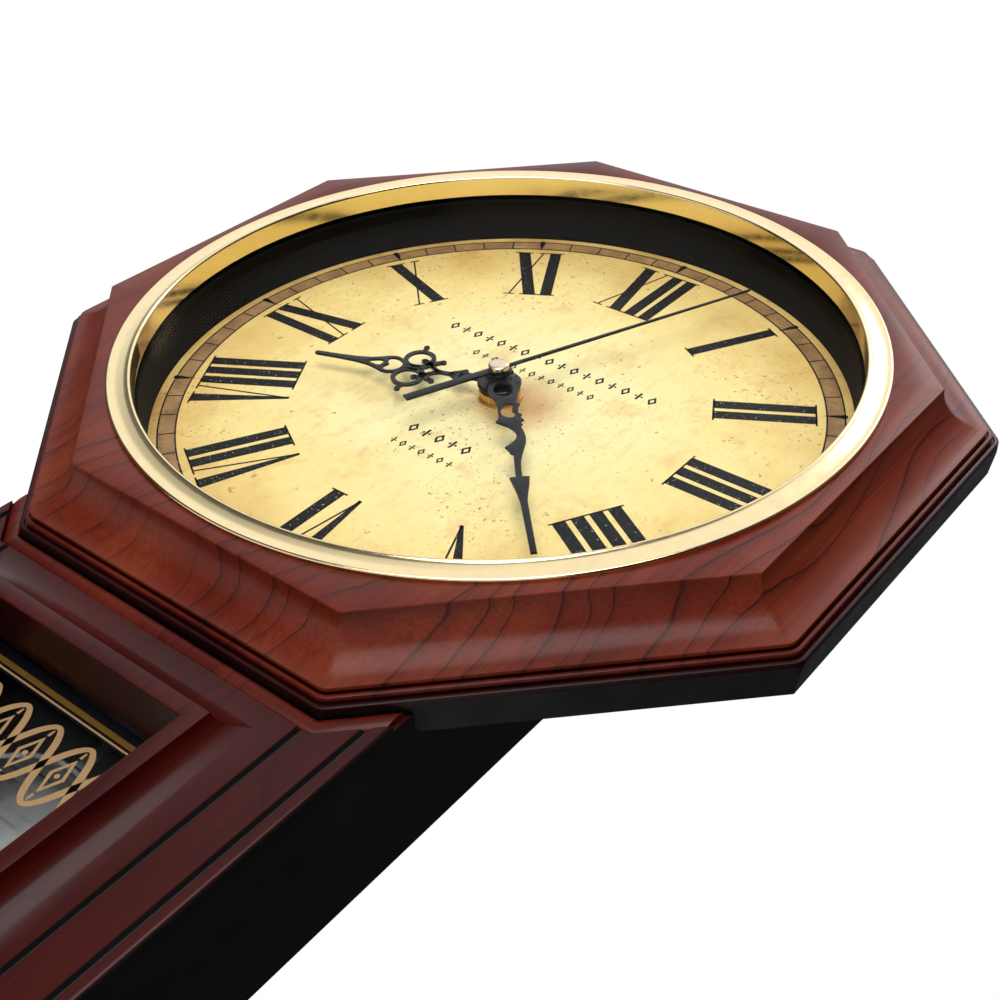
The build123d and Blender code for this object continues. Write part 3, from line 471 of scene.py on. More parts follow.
def brick_paint():
    p = Paint("track_tan", rough=0.6)
    tone = p.noise(p.spread((140, 140, 140)), detail=5, rough=0.65)
    base = p.ramp(tone, (0.3, (0.20, 0.10, 0.035)), (0.6, (0.40, 0.225, 0.085)), (0.8, (0.52, 0.32, 0.13)))
    dots = p.ramp(p.noise(p.spread((900, 900, 900)), detail=2), (0.64, 0.0), (0.68, 0.7))
    p.set(p.shader, {"Base Color": p.mix(dots, base, (0.09, 0.045, 0.02))})
    return p.material


def glass_paint(name, tint=(0.985, 0.99, 0.985), gloss=0.5):
    """Thin clear glass: see-through, with a mirror that grows towards grazing angles."""
    p = Paint(name, rough=0.0)
    clear = p.node("ShaderNodeBsdfTransparent", {"Color": (*tint, 1.0)})
    shine = p.node("ShaderNodeBsdfGlossy", {"Color": (1, 1, 1, 1), "Roughness": 0.02})
    facing = p.node("ShaderNodeLayerWeight", {"Blend": 0.5}).outputs["Facing"]
    rise = p.math("ADD", p.math("MULTIPLY", p.math("POWER", facing, 5.0), 0.96), 0.04)
    smear = p.ramp(p.noise(p.spread((18, 18, 18)), detail=3), (0.3, gloss * 0.85), (0.7, gloss))
    share = p.math("MULTIPLY", rise, smear)
    both = p.node("ShaderNodeMixShader", {0: share, 1: clear.outputs[0], 2: shine.outputs[0]})
    p.tree.links.new(both.outputs[0], p.out.inputs["Surface"])
    p.tree.nodes.remove(p.shader)
    return p.material


WOOD = wood_paint()
# Darker copy of the veneer: painted shade on the head's beads and the foot bead
BEAD_WOOD_SHADED = wood_paint("veneer_cherry_mid_shade", 0.62)
# Much darker copy of the veneer: painted shade on the drop case below the head
DROP_WOOD_SHADED = wood_paint("veneer_cherry_deep_shade", 0.30)
# Near-black copy of the veneer: painted shade for the valleys between the head's beads
VALLEY_SHADE = wood_paint("veneer_cherry_valley_shade", 0.12)
BLACK = black_plastic()
SATIN_BLACK = black_plastic("case_black_satin", 0.004, 0.35, 0.5)
MOVEMENT = black_plastic("movement_black_matt", 0.018, 0.45, 0.6)
GILT = metal("gilt_polished", (0.90, 0.72, 0.40), 0.10, 0.17, bump=0.01)
BRASS = metal("brass_aged", (0.72, 0.46, 0.17), 0.22, 0.42, bump=0.05)
PALE_GOLD = metal("cap_pale_gold", (0.86, 0.68, 0.50), 0.24, 0.34, bump=0.02)
STEEL = metal("zinc_steel", (0.56, 0.56, 0.58), 0.25, 0.42)
SPRING = metal("spring_steel", (0.62, 0.62, 0.63), 0.18, 0.32)
BOB = metal("bob_brushed", (0.60, 0.58, 0.53), 0.24, 0.5, (40, 40, 900), 0.12)
HAND = plain("hand_black_enamel", (0.0035, 0.0035, 0.006), 0.24, 0.34, Specular_IOR_Level=0.25)
PANEL = board_paint()
WELL_BLACK = Paint("well_flat_black", (0.0022, 0.002, 0.002), 0.7, Specular_IOR_Level=0.08).material
DIAL = dial_paint()
INK = ink_paint()
BRICK = brick_paint()
GLASS = glass_paint("clear_glass", gloss=0.05)
LOW_GLASS = glass_paint("window_glass_clear", (0.93, 0.95, 0.97), 0.1)
NYLON = plain("nylon_white", (0.78, 0.77, 0.72), 0.38, 0.52, mottle=0.06)
BOARD = plain("board_green", (0.03, 0.16, 0.06), 0.35, 0.5)
COPPER = metal("coil_copper", (0.62, 0.24, 0.11), 0.3, 0.45, (60, 2600, 60), 0.3)
CELL = plain("cell_wrap_blue", (0.03, 0.05, 0.16), 0.2, 0.3)
WINDOW_BLACK = plain("window_mask_black", (0.006, 0.006, 0.008), 0.12, 0.2)
WINDOW_GOLD = plain("window_gold_dark", (0.30, 0.145, 0.02), 0.3, 0.4, metallic=0.35)
WINDOW_TAN = plain("window_tan", (0.56, 0.31, 0.12), 0.35, 0.45)
# Black of the case's sides, also laid in the drop frame's grooves as painted shade
EDGE_BLACK_GROOVE_SHADE = black_plastic("case_edge_black_groove_shade", 0.004, 0.3, 0.4)


# ---- head --------------------------------------------------------------------------
def build_head_frame():
    """Octagonal moulding: flat face round the bezel, cove, then three stepped beads in a darker veneer as
    painted shade, with valleys painted near black as shade.
    """
    bead2, bead3 = LAND_A + BEAD_OUT, LAND_A + 2 * BEAD_OUT
    d1, d2, d3 = LAND_D - BEAD_STEP, LAND_D - 2 * BEAD_STEP, LAND_D - 3 * BEAD_STEP
    loops = [head_circle(OPENING_R, FACE_D - FACE_T), head_circle(OPENING_R, FACE_D - 0.5),
             head_circle(OPENING_R + 0.15, FACE_D - 0.15), head_circle(OPENING_R + 0.5, FACE_D)]
    crease = [(CREASE_A - 0.6, FACE_D), (CREASE_A - 0.18, FACE_D - 0.08), (CREASE_A, FACE_D - 0.35)]
    section = [(a, d, 0.5) for a, d in crease]
    cove = arc(LAND_A, FACE_D, LAND_A - CREASE_A, FACE_D - LAND_D, 183, 268, 16)
    section += [(a, d, 0.5 + 3.0 * k / 16) for k, (a, d) in enumerate(cove)]
    beads = [(LAND_A, LAND_D - 0.02), (LAND_A + 0.12, LAND_D - 0.2), (LAND_A + 0.1, d1 + 0.6)]
    for rim, base in ((bead2, d1), (bead3, d2)):
        beads += [(rim - BEAD_OUT - 0.3, base + 0.2), (rim - BEAD_OUT - 0.25, base - 0.35)]
        beads += [(rim - BEAD_OUT + 0.3, base - 0.3), (rim - BEAD_OUT + 0.7, base), (rim - 0.5, base + 0.02)]
        beads += [(rim - 0.12, base - 0.12), (rim, base - 0.5), (rim, base - BEAD_STEP + 0.6)]
    beads += [(bead3, d3)]
    section += [(a, d, CORNER_R) for a, d in beads]
    section += [(bead3 - 3, d3, 1.0), (CREASE_A + 8.5, LAND_D - 3, 0.5), (CREASE_A - 1, FACE_D - FACE_T, 0.5)]
    loops += [octagon_loop(a, d, r) for a, d, r in section]
    points, faces = skin(loops)
    first = len(loops) - len(section) + len(crease) + len(cove)
    # Valley faces take the near-black veneer as painted shade, bead faces the darker veneer as painted shade
    wood, valley, bead = range(3)
    slots = [wood] * (first + 2) + [valley] * 4 + [bead] * 4
    slots += [valley] * (len(loops) - len(slots))
    return add_piece("head_moulding", points, faces, [WOOD, VALLEY_SHADE, BEAD_WOOD_SHADED], "case",
                     ["head_frame"], 24, [slots[k // len(STATIONS)] for k in range(len(faces))])


def build_bezel():
    flange = [(BORE_R, GLASS_D), (BORE_R, RIM_D - 0.75)]
    flange += arc(BORE_R + 0.75, RIM_D - 0.75, 0.75, 0.75, 180, 60, 6)
    flange += [(BORE_R + 1.6, RIM_D - 0.30), (BORE_R + 2.4, RIM_D - 0.42), (BORE_R + 4.2, RIM_D - 0.62),
               (BEZEL_R - 1.7, RIM_D - 0.82), (BEZEL_R - 1.25, RIM_D - 0.74)]
    flange += arc(BEZEL_R - 0.7, RIM_D - 1.25, 0.7, 0.6, 110, -10, 7)
    flange += [(BEZEL_R, FACE_D + 0.1), (BEZEL_R - 0.1, FACE_D), (WELL_OUT_R, FACE_D), (WELL_OUT_R, GLASS_D)]
    return lathe("bezel_ring", flange, [GILT], "case", ["bezel"], smooth=50, count=FINE_ROUND)


def build_well():
    profile = [(WELL_R, DIAL_D), (WELL_R, WELL_TOP_D - 0.5), (WELL_R + 0.5, WELL_TOP_D),
               (WELL_OUT_R, WELL_TOP_D), (WELL_OUT_R, DIAL_D)]
    return lathe("well_wall", profile, [WELL_BLACK], "case", ["well_ring"], count=FINE_ROUND)


def build_glass():
    top, low = GLASS_D, GLASS_D - 2
    profile = [(0.01, top), (WELL_OUT_R - 0.3, top), (WELL_OUT_R, top - 0.3), (WELL_OUT_R, low), (0.01, low)]
    return lathe("dial_pane", profile, [GLASS], "case", ["dial_glass"])


# ---- dial --------------------------------------------------------------------------
SERIF = 0.62
STEM = 4.3
GAP = 1.75
FIVE_W = 10.2
TEN_W = 10.8
NUMERAL_H = NUMERAL_OUT - NUMERAL_IN


def glyph_one(slabs, u):
    """Thick upright with hairline serifs; returns its width."""
    height = NUMERAL_H
    slabs.shape([(u, 0.2), (u + STEM, 0.2), (u + STEM, height - 0.2), (u, height - 0.2)])
    for v in (0, height - SERIF):
        slabs.shape([(u - GAP * 0.62, v), (u + STEM + GAP * 0.62, v), (u + STEM + GAP * 0.62, v + SERIF),
                     (u - GAP * 0.62, v + SERIF)])
    return STEM


def serif(slabs, u0, u1, top):
    v = NUMERAL_H - SERIF if top else 0.0
    slabs.shape([(u0, v), (u1, v), (u1, v + SERIF), (u0, v + SERIF)])


def glyph_five(slabs, u):
    height, width = NUMERAL_H, FIVE_W
    foot = u + width * 0.52
    slabs.shape([(u, height - 0.2), (foot - 0.3, 0.0), (foot + 0.9, 0.0), (u + STEM + 0.4, height - 0.2)])
    slabs.shape([(foot - 0.1, 0.3), (foot + 0.55, 0.3), (u + width, height - 0.2),
                 (u + width - 0.65, height - 0.2)])
    serif(slabs, u - 1.3, u + STEM + 1.7, True)
    serif(slabs, u + width - 2.4, u + width + 1.4, True)
    return width


def glyph_ten(slabs, u):
    height, width = NUMERAL_H, TEN_W
    slabs.shape([(u, height - 0.2), (u + width - STEM - 0.3, 0.2), (u + width, 0.2),
                 (u + STEM + 0.3, height - 0.2)])
    slabs.shape([(u + 0.5, 0.2), (u + 1.15, 0.2), (u + width - 0.5, height - 0.2),
                 (u + width - 1.15, height - 0.2)])
    serif(slabs, u - 1.3, u + STEM + 1.6, True)
    serif(slabs, u + width - 2.6, u + width + 1.2, True)
    serif(slabs, u - 1.2, u + 2.8, False)
    serif(slabs, u + width - STEM - 1.6, u + width + 1.3, False)
    return width


GLYPHS = {"I": glyph_one, "V": glyph_five, "X": glyph_ten}
WIDTHS = {"I": STEM, "V": FIVE_W, "X": TEN_W}
HOURS = ["I", "II", "III", "IIII", "V", "VI", "VII", "VIII", "IX", "X", "XI", "XII"]


def build_numerals():
    points, faces = [], []
    for k, word in enumerate(HOURS):
        turn = 30 * (k + 1)
        a = math.radians(turn)
        slabs = Slabs(DIAL_D - 0.05, DIAL_D + 0.06, turn, NUMERAL_IN * math.sin(a), NUMERAL_IN * math.cos(a))
        total = sum(WIDTHS[c] for c in word) + GAP * (len(word) - 1)
        u = -total / 2
        for c in word:
            u += GLYPHS[c](slabs, u) + GAP
        faces += [tuple(i + len(points) for i in f) for f in slabs.faces]
        points += slabs.points
    return add_piece("dial_numerals", points, faces, [INK], "case")


def build_track():
    blocks = [(TRACK_IN, DIAL_D - 0.05), (TRACK_IN, DIAL_D + 0.03), (TRACK_OUT, DIAL_D + 0.03),
              (TRACK_OUT, DIAL_D - 0.05)]
    lathe("track_blocks", blocks, [BRICK], "case")
    points, faces = [], []
    for radius in (TRACK_IN, TRACK_OUT):
        loops = [circle_loop(radius - 0.28, DIAL_D - 0.05), circle_loop(radius - 0.28, DIAL_D + 0.07),
                 circle_loop(radius + 0.28, DIAL_D + 0.07), circle_loop(radius + 0.28, DIAL_D - 0.05)]
        more, quads = skin(loops)
        faces += [tuple(i + len(points) for i in f) for f in quads]
        points += more
    for k in range(60):
        slabs = Slabs(DIAL_D - 0.05, DIAL_D + 0.07, 6 * k)
        lean = rng.uniform(-0.12, 0.12)
        slabs.bar(lean, TRACK_IN, -lean, TRACK_OUT, 0.27, 0.27)
        if k % 5 == 0:
            mid = (TRACK_IN + TRACK_OUT) / 2
            slabs.shape([(0, TRACK_IN - 1.2), (0.55, mid - 1.0), (1.25, TRACK_OUT), (0.6, TRACK_OUT + 0.9),
                         (-0.6, TRACK_OUT + 0.9), (-1.25, TRACK_OUT), (-0.55, mid - 1.0)])
        faces += [tuple(i + len(points) for i in f) for f in slabs.faces]
        points += slabs.points
    return add_piece("track_lines", points, faces, [INK], "case")


def build_dial_ornament():
    """Chains of lozenges, bars and dots, in place of lines of lettering."""
    slabs = Slabs(DIAL_D - 0.05, DIAL_D + 0.05)
    for y, half, size in ((27.5, 44.0, 2.6), (17.5, 25.0, 2.0), (-31.0, 13.5, 2.7), (-40.0, 15.5, 1.9)):
        pitch = size * 2.05
        count = int(half // pitch)
        for k in range(-count, count + 1):
            u = k * pitch
            if k % 2:
                slabs.bar(u, y - size * 0.8, u, y + size * 0.8, size * 0.16, size * 0.16)
                for s in (-1, 1):
                    slabs.disc(u + s * size * 0.42, y, size * 0.17, 12)
            else:
                wide, fine, half_size = size * 0.62, size * 0.30, size * 0.5
                slabs.ring([(u - wide, y), (u, y + size), (u + wide, y), (u, y - size)],
                           [(u - fine, y), (u, y + half_size), (u + fine, y), (u, y - half_size)])
    return slabs.piece("dial_ornament", [INK], "case")


def build_dial():
    profile = [(4.2, DIAL_D - 1), (4.2, DIAL_D), (DIAL_R, DIAL_D), (DIAL_R, DIAL_D - 1)]
    lathe("dial_card_face", profile, [DIAL], "case", ["dial"])
    build_track()
    build_numerals()
    build_dial_ornament()


# ---- hands -------------------------------------------------------------------------
# outlines of the hands: (along the hand from its shaft, across it)
MINUTE_EDGE = [
    (4.0, -2.2), (5.2, -3.6), (6.8, -4.6), (9.2, -5.1), (11.6, -5.1), (14.0, -4.6), (16.2, -4.1),
    (18.6, -3.6), (19.3, -4.8), (20.6, -4.1), (24.4, -3.6), (25.4, -4.7), (26.7, -3.8), (28.5, -5.0),
    (29.3, -3.7), (31.0, -4.3), (31.6, -3.5), (34.4, -4.1), (38.0, -4.5), (41.2, -4.15), (44.4, -3.15),
    (47.3, -2.35), (50.9, -1.5), (55.1, -1.1), (58.7, -1.0), (58.9, -3.2), (63.0, -2.6), (68.0, -1.6),
    (70.9, -1.15), (80.9, -1.02), (95.0, -0.95), (95.0, 0.95), (80.9, 1.02), (70.9, 1.1), (66.6, 1.6),
    (63.0, 2.2), (58.8, 2.95), (58.7, 0.95), (55.1, 0.85), (50.9, 0.6), (46.9, 0.4), (46.2, 1.35),
    (45.1, 1.5), (42.9, 2.6), (42.2, 1.75), (40.6, 0.0), (38.8, -1.3), (36.6, -1.75), (34.2, -1.3),
    (31.8, 0.3), (30.0, 2.4), (28.5, 4.0), (27.1, 3.1), (25.1, 2.8), (22.3, 2.8), (19.4, 2.6), (16.6, 3.1),
    (14.0, 4.0), (11.6, 4.5), (9.2, 4.7), (6.8, 4.2), (5.2, 3.2), (4.0, 2.0)]
MINUTE_HEART = [
    (18.4, -1.6), (18.7, -0.3), (20.5, 1.2), (22.9, 1.95), (25.2, 1.6), (26.7, -0.1), (26.8, -1.7),
    (25.6, -2.7), (24.1, -2.5), (23.0, -1.8), (21.6, -2.0), (19.6, -2.6)]


def both_sides(half):
    """A closed outline from its one side, which is mirrored about the hand's own line."""
    return half + [(v, -u) for v, u in half[::-1] if u]


HOUR_SPADE = both_sides([
    (34.0, 1.0), (35.0, 3.0), (36.6, 4.6), (38.6, 5.3), (40.8, 5.0), (43.4, 3.7), (47.0, 2.3), (52.0, 1.45),
    (58.0, 1.1), (66.6, 0.95), (67.3, 0.6), (67.5, 0.0)])
HOUR_HEART = both_sides([
    (34.9, 0.0), (35.6, 2.0), (37.3, 3.5), (39.3, 4.0), (40.7, 3.5), (41.1, 2.3), (40.6, 1.1), (39.8, 0.0)])
HOUR_TEAR = both_sides([(42.0, 0.0), (42.5, 1.5), (43.8, 1.75), (45.6, 1.1), (48.2, 0.0)])


def cut_outline(name, outline, holes, depth, turn, rounded=0.12):
    """A flat hand blank with holes and softened edges, as a filled curve turned into mesh data."""
    curve = bpy.data.curves.new(name, "CURVE")
    curve.dimensions = "2D"
    curve.fill_mode = "BOTH"
    curve.extrude = (HAND_T / 2 - rounded) * MM
    curve.bevel_depth = rounded * MM
    curve.bevel_resolution = 2
    curve.offset = -rounded * MM
    for line in [outline, *holes]:
        spline = curve.splines.new("POLY")
        spline.points.add(len(line) - 1)
        for point, (v, u) in zip(spline.points, line):
            point.co = (u * MM, v * MM, 0, 1)
        spline.use_cyclic_u = True
    holder = bpy.data.objects.new(name + "_drawn", curve)
    mesh = bpy.data.meshes.new_from_object(holder)
    bpy.data.objects.remove(holder)
    s, c = math.sin(math.radians(turn)), math.cos(math.radians(turn))
    for vertex in mesh.vertices:
        u, v, w = vertex.co / MM
        vertex.co = row((u * c + v * s, v * c - u * s, depth + HAND_T / 2 + w))
    return mesh


def join_meshes(name, meshes, material):
    """One mesh from several, in one material."""
    work = bmesh.new()
    for mesh in meshes:
        work.from_mesh(mesh)
    bmesh.ops.remove_doubles(work, verts=work.verts, dist=1e-7)
    joined = bpy.data.meshes.new(name)
    bmesh.ops.recalc_face_normals(work, faces=work.faces)
    work.to_mesh(joined)
    work.free()
    joined.materials.clear()
    joined.materials.append(material)
    for polygon in joined.polygons:
        polygon.material_index = 0
    return joined


def turned_data(profile, name):
    """Mesh data of a small ring round the hands' shaft."""
    return mesh_data(name, *skin([circle_loop(r, d, HUB_STEPS) for r, d in profile]))


def finish_hand(which, meshes):
    name = which + "_hand_shape"
    hand = bpy.data.objects.new(name, join_meshes(name, meshes, HAND))
    register(hand, which + "_works", [which + "_hand"], 40)


def build_hour_hand():
    low, high = HOUR_D, HOUR_D + HAND_T
    blade = cut_outline("hour_blade", HOUR_SPADE, [HOUR_HEART, HOUR_TEAR], low, HOUR_AT)
    slabs = Slabs(low + 0.02, high - 0.02, HOUR_AT)
    slabs.bar(0, 6.5, 0, 23.2, 1.25, 0.75)
    for s in (-1, 1):
        slabs.stroke([(s * 0.2, 17.6, 0.6), (s * 1.5, 15.4, 0.75), (s * 2.7, 13.4, 0.7)])
        slabs.disc(s * 2.95, 12.9, 0.95)
        slabs.stroke([(s * 0.4, 9.4, 0.8), (s * 1.5, 11.0, 0.7), (s * 1.2, 12.8, 0.6), (s * 0.3, 14.0, 0.6)])
        slabs.stroke([(s * 0.1, 20.5, 0.6), (s * 0.9, 22.8, 0.65), (s * 2.3, 24.6, 0.75),
                      (s * 3.9, 26.0, 0.9)])
        slabs.stroke([(s * 5.9, 22.4, 0.8), (s * 5.0, 24.0, 1.0), (s * 3.9, 25.5, 1.2), (s * 2.6, 27.4, 0.9)])
        slabs.disc(s * 6.0, 22.2, 1.1)
        slabs.stroke([(s * 3.9, 25.8, 0.9), (s * 4.8, 27.2, 0.85), (s * 5.1, 28.6, 0.9)])
        slabs.disc(s * 5.15, 28.7, 1.15)
        slabs.ring(arc(s * 5.85, 30.8, 5.6, 5.6, 0, 353, 48), arc(s * 5.85, 30.8, 4.0, 4.0, 0, 353, 48))
        slabs.stroke([(s * 11.0, 31.0, 1.0), (s * 12.2, 31.2, 0.75), (s * 13.4, 31.3, 0.85)])
        slabs.disc(s * 13.6, 31.3, 1.0)
    slabs.ring([(0, 28.9), (3.5, 25.4), (0, 21.9), (-3.5, 25.4)],
               [(0, 27.6), (2.25, 25.4), (0, 23.2), (-2.25, 25.4)])
    slabs.shape([(0, 27.6), (1.7, 29.4), (1.5, 33.4), (0, 35.2), (-1.5, 33.4), (-1.7, 29.4)])
    for k in range(8):
        rib = math.radians(45 * k + 22)
        s, c = math.sin(rib), math.cos(rib)
        slabs.bar(3.5 * s, 3.5 * c, 5.0 * s, 5.0 * c, 0.22, 0.22)
    hub = turned_data([(2.72, low), (2.72, high + 0.7), (3.3, high + 0.85), (3.5, high + 0.6),
                       (3.7, high + 0.1), (6.6, high), (7.1, high - 0.1), (7.4, high - 0.35), (7.4, low)],
                      "hour_hub")
    ribs = mesh_data("hour_filigree", slabs.points, slabs.faces)
    finish_hand("hour", [blade, ribs, hub])


def build_minute_hand():
    low, high = MINUTE_D, MINUTE_D + HAND_T
    oval = [(v, u) for u, v in arc(-0.2, 10.1, 3.1, 4.3, 0, 352, 40)]
    blade = cut_outline("minute_blade", MINUTE_EDGE, [oval, MINUTE_HEART], low, MINUTE_AT)
    hub = turned_data([(1.82, low), (1.82, high + 0.5), (2.7, high + 0.62), (3.0, high + 0.4),
                       (3.1, high + 0.05), (4.6, high), (4.95, high - 0.15), (5.0, high - 0.4), (5.0, low)],
                      "minute_hub")
    finish_hand("minute", [blade, hub])


def build_second_hand():
    needle = [(0.0, 0.75), (40.0, 0.6), (102.0, 0.32), (102.0, -0.32), (40.0, -0.6), (0.0, -0.75),
              (-3.0, -1.5), (-34.5, -1.55), (-34.5, 1.55), (-3.0, 1.5)]
    blade = cut_outline("second_blade", needle, [], SECOND_D, SECOND_AT, 0.15)
    high = SECOND_D + HAND_T
    hub = turned_data([(0.77, SECOND_D), (0.77, high), (2.9, high), (3.1, high - 0.2), (3.1, SECOND_D)],
                      "second_hub")
    finish_hand("second", [blade, hub])


def build_cap():
    low, high = SECOND_D + HAND_T, SECOND_D + HAND_T + 1.6
    profile = [(0.05, low), (3.45, low), (3.5, low + 0.1), (3.5, high - 0.42), (3.35, high - 0.2),
               (2.95, high), (0.05, high)]
    return lathe("centre_cap", profile, [PALE_GOLD], "second_works", ["second_cap"],
                 count=HUB_STEPS)


# ---- drop case ---------------------------------------------------------------------
def window_loop(grow, depth, top=None):
    """Corners of the window outline pushed outwards by grow."""
    half = WINDOW_HALF + grow
    bottom = WINDOW_BOTTOM - grow
    clip = WINDOW_CLIP + grow * (2 - math.sqrt(2))
    high = WINDOW_TOP + grow if top is None else top
    return [(-half, high, depth), (half, high, depth), (half, bottom + clip, depth),
            (half - clip, bottom, depth), (clip - half, bottom, depth), (-half, bottom + clip, depth)]


def groove(a):
    """Section of a shallow groove in the field, centred a outside the window."""
    return [(a - 1.15, FIELD_D), (a - 0.95, FIELD_D - 0.15), (a - 0.3, FIELD_D - 1.35),
            (a + 0.3, FIELD_D - 1.35), (a + 0.95, FIELD_D - 0.15), (a + 1.15, FIELD_D)]


def prism(apothem, low, high):
    """Octagon prism to cut with."""
    corner = apothem / math.cos(math.pi / 8)
    turns = [math.radians(22.5 + 45 * k) for k in range(8)]
    loops = [[(corner * math.cos(t), corner * math.sin(t), d) for t in turns] for d in (low, high)]
    faces = [tuple(range(8)), tuple(range(8, 16))]
    faces += [(k, (k + 1) % 8, 8 + (k + 1) % 8, 8 + k) for k in range(8)]
    mesh = mesh_data("cutter", [p for loop in loops for p in loop], faces)
    face_outwards(mesh)
    cutter = bpy.data.objects.new("cutter", mesh)
    bpy.context.scene.collection.objects.link(cutter)
    return cutter


def subtract(obj, cutters):
    """Cuts each cutter out of a mesh object and removes the cutters."""
    for cutter in cutters:
        cut = obj.modifiers.new("cut", "BOOLEAN")
        cut.operation = "DIFFERENCE"
        cut.solver = "EXACT"
        cut.object = cutter
    bpy.context.view_layer.update()
    done = bpy.data.meshes.new_from_object(obj.evaluated_get(bpy.context.evaluated_depsgraph_get()))
    obj.modifiers.clear()
    obj.data = done
    for cutter in cutters:
        bpy.data.objects.remove(cutter)


def build_drop_frame():
    """Mitred drop frame in a darker veneer as painted shade: reveal painted near black as shade, ridge, cove,
    two grooves painted black as shade and a black side, cut to the octagon.
    """
    foot, top = RIDGE_W + COVE_W, FIELD_TOP
    inner = [(0, LOW_GLASS_D), (0, RIDGE_D - 0.4), (0.14, RIDGE_D - 0.12), (0.45, RIDGE_D),
             (RIDGE_W - 0.45, RIDGE_D), (RIDGE_W - 0.12, RIDGE_D - 0.1), (RIDGE_W, RIDGE_D - 0.35)]
    inner += arc(foot, RIDGE_D, COVE_W, RIDGE_D - FIELD_D, 183, 268, 14)
    # The reveal wall (slot 2) takes the near-black red as painted shade; the rest takes the darkened veneer
    slots = [2] + [0] * (len(inner) - 1)
    loops = [window_loop(a, d) for a, d in inner]
    outer = groove(19.9) + groove(33.15)
    # Groove walls and floors take the black as painted shade
    slots += [0, 1, 1, 1, 0, 0] * 2
    outer += arc(BORDER - 1.3, FIELD_D - 1.3, 1.3, 1.3, 90, 0, 6)
    slots += [0, 0, 0, 1, 1, 1, 1]
    outer += [(BORDER, CASE_FRONT_D), (BORDER - 3, CASE_FRONT_D), (BORDER - 3, FIELD_D - 3)]
    loops += [window_loop(a, d, top) for a, d in outer]
    slots += [1, 1, 1]
    back = [(foot - 5, FIELD_D - 3), (3, RIDGE_D - 3), (3, LOW_GLASS_D + 3), (12, LOW_GLASS_D + 3),
            (12, LOW_GLASS_D)]
    loops += [window_loop(a, d) for a, d in back]
    slots += [1] * len(back)
    points, faces = skin(loops)
    obj = add_piece("drop_moulding", points, faces, [DROP_WOOD_SHADED, EDGE_BLACK_GROOVE_SHADE, REVEAL_SHADE], "case",
                    ["drop_frame"], 24, [slots[k // 6] for k in range(len(faces))])
    subtract(obj, [prism(CUT_A, 30, 70), prism(CUT_A + BEAD_W, FIELD_D - 1.9, 70)])
    obj.data.shade_smooth()
    obj.data.set_sharp_from_angle(angle=math.radians(24))
    return obj


def build_foot_bead():
    """Rounded bead that hugs the octagon where the drop case meets it."""
    inner, outer, top = CUT_A + 0.02, CUT_A + BEAD_W - 0.05, FIELD_D - 0.25
    profile = [(inner, 42.0), (inner, top - 0.9)]
    profile += arc(inner + 0.9, top - 0.9, 0.9, 0.9, 180, 90, 5)
    profile += arc(inner + 1.6, top - 1.7, outer - inner - 1.6, 1.7, 84, 0, 8)
    profile += [(outer, 42.0)]
    reach = WINDOW_HALF + BORDER - 1.5
    tan = math.tan(math.pi / 8)
    loops = []
    for a, d in profile:
        side = reach - a * math.sqrt(2)
        loops.append([(-reach, side, d), (-a * tan, -a, d), (a * tan, -a, d), (reach, side, d)])
    points = [p for loop in loops for p in loop]
    faces = []
    for i in range(len(loops)):
        j = (i + 1) % len(loops)
        faces += [(4 * i + k, 4 * i + k + 1, 4 * j + k + 1, 4 * j + k) for k in range(3)]
    faces.append(tuple(4 * i for i in range(len(loops))))
    faces.append(tuple(4 * i + 3 for i in range(len(loops))))
    # The bead takes the darker veneer copy as painted shade
    return add_piece("foot_bead", points, faces, [BEAD_WOOD_SHADED], "case", smooth=24)


# Near-black red for the window reveal: painted shade on the recessed wall
def reveal_shade_paint():
    p = Paint("reveal_dark_red_shade", rough=0.3, Specular_IOR_Level=0.2)
    tone = p.noise(p.spread((60, 60, 20)), detail=4)
    p.set(p.shader, {"Base Color": p.mix(tone, (0.010, 0.002, 0.002), (0.035, 0.005, 0.004))})
    p.wear(0.24, 0.36)
    return p.material


REVEAL_SHADE = reveal_shade_paint()


def build_window_print():
    """Black mask, gold band, thin tan line and a woven ornament, behind the window glass."""
    back = LOW_GLASS_D - 2.0

    def frame_ring(outer, inner, low, high, name, material):
        loops = [window_loop(-outer, low), window_loop(-outer, high), window_loop(-inner, high),
                 window_loop(-inner, low)]
        points, faces = skin(loops)
        return add_piece(name, points, faces, [material], "case")

    frame_ring(0.0, 6.9, back - 0.12, back - 0.06, "window_mask", WINDOW_BLACK)
    frame_ring(2.94, 4.69, back - 0.06, back - 0.01, "window_band", WINDOW_GOLD)
    frame_ring(5.5, 6.1, back - 0.06, back - 0.01, "window_line", WINDOW_TAN)
    high, low, half = -181.5, -205.0, 33.0
    mid, tall = (high + low) / 2, (high - low) / 2
    slabs = Slabs(back - 0.06, back - 0.01)
    pitch = 13.2
    steps = 10
    count = int(round(2 * half / pitch))
    for s in (-1, 1):
        path = []
        for k in range(count * 4 + 1):
            t = k / 4
            u = -half + pitch * t
            v = mid + s * (tall - 1.0) * math.sin(math.pi * t)
            path.append((u, v, 0.75 + 0.35 * abs(math.cos(math.pi * t))))
        slabs.stroke(path, steps)
    for k in range(count):
        u = -half + pitch * (k + 0.5)
        slabs.ring([(u, mid + 6.6), (u + 2.9, mid), (u, mid - 6.6), (u - 2.9, mid)],
                   [(u, mid + 4.6), (u + 1.7, mid), (u, mid - 4.6), (u - 1.7, mid)])
        slabs.disc(u, mid, 0.8)
        for s in (-1, 1):
            slabs.bar(u, mid + s * 7.2, u, mid + s * (tall - 2.4), 0.5, 0.25)
    slabs.piece("window_ornament", [WINDOW_TAN], "case")


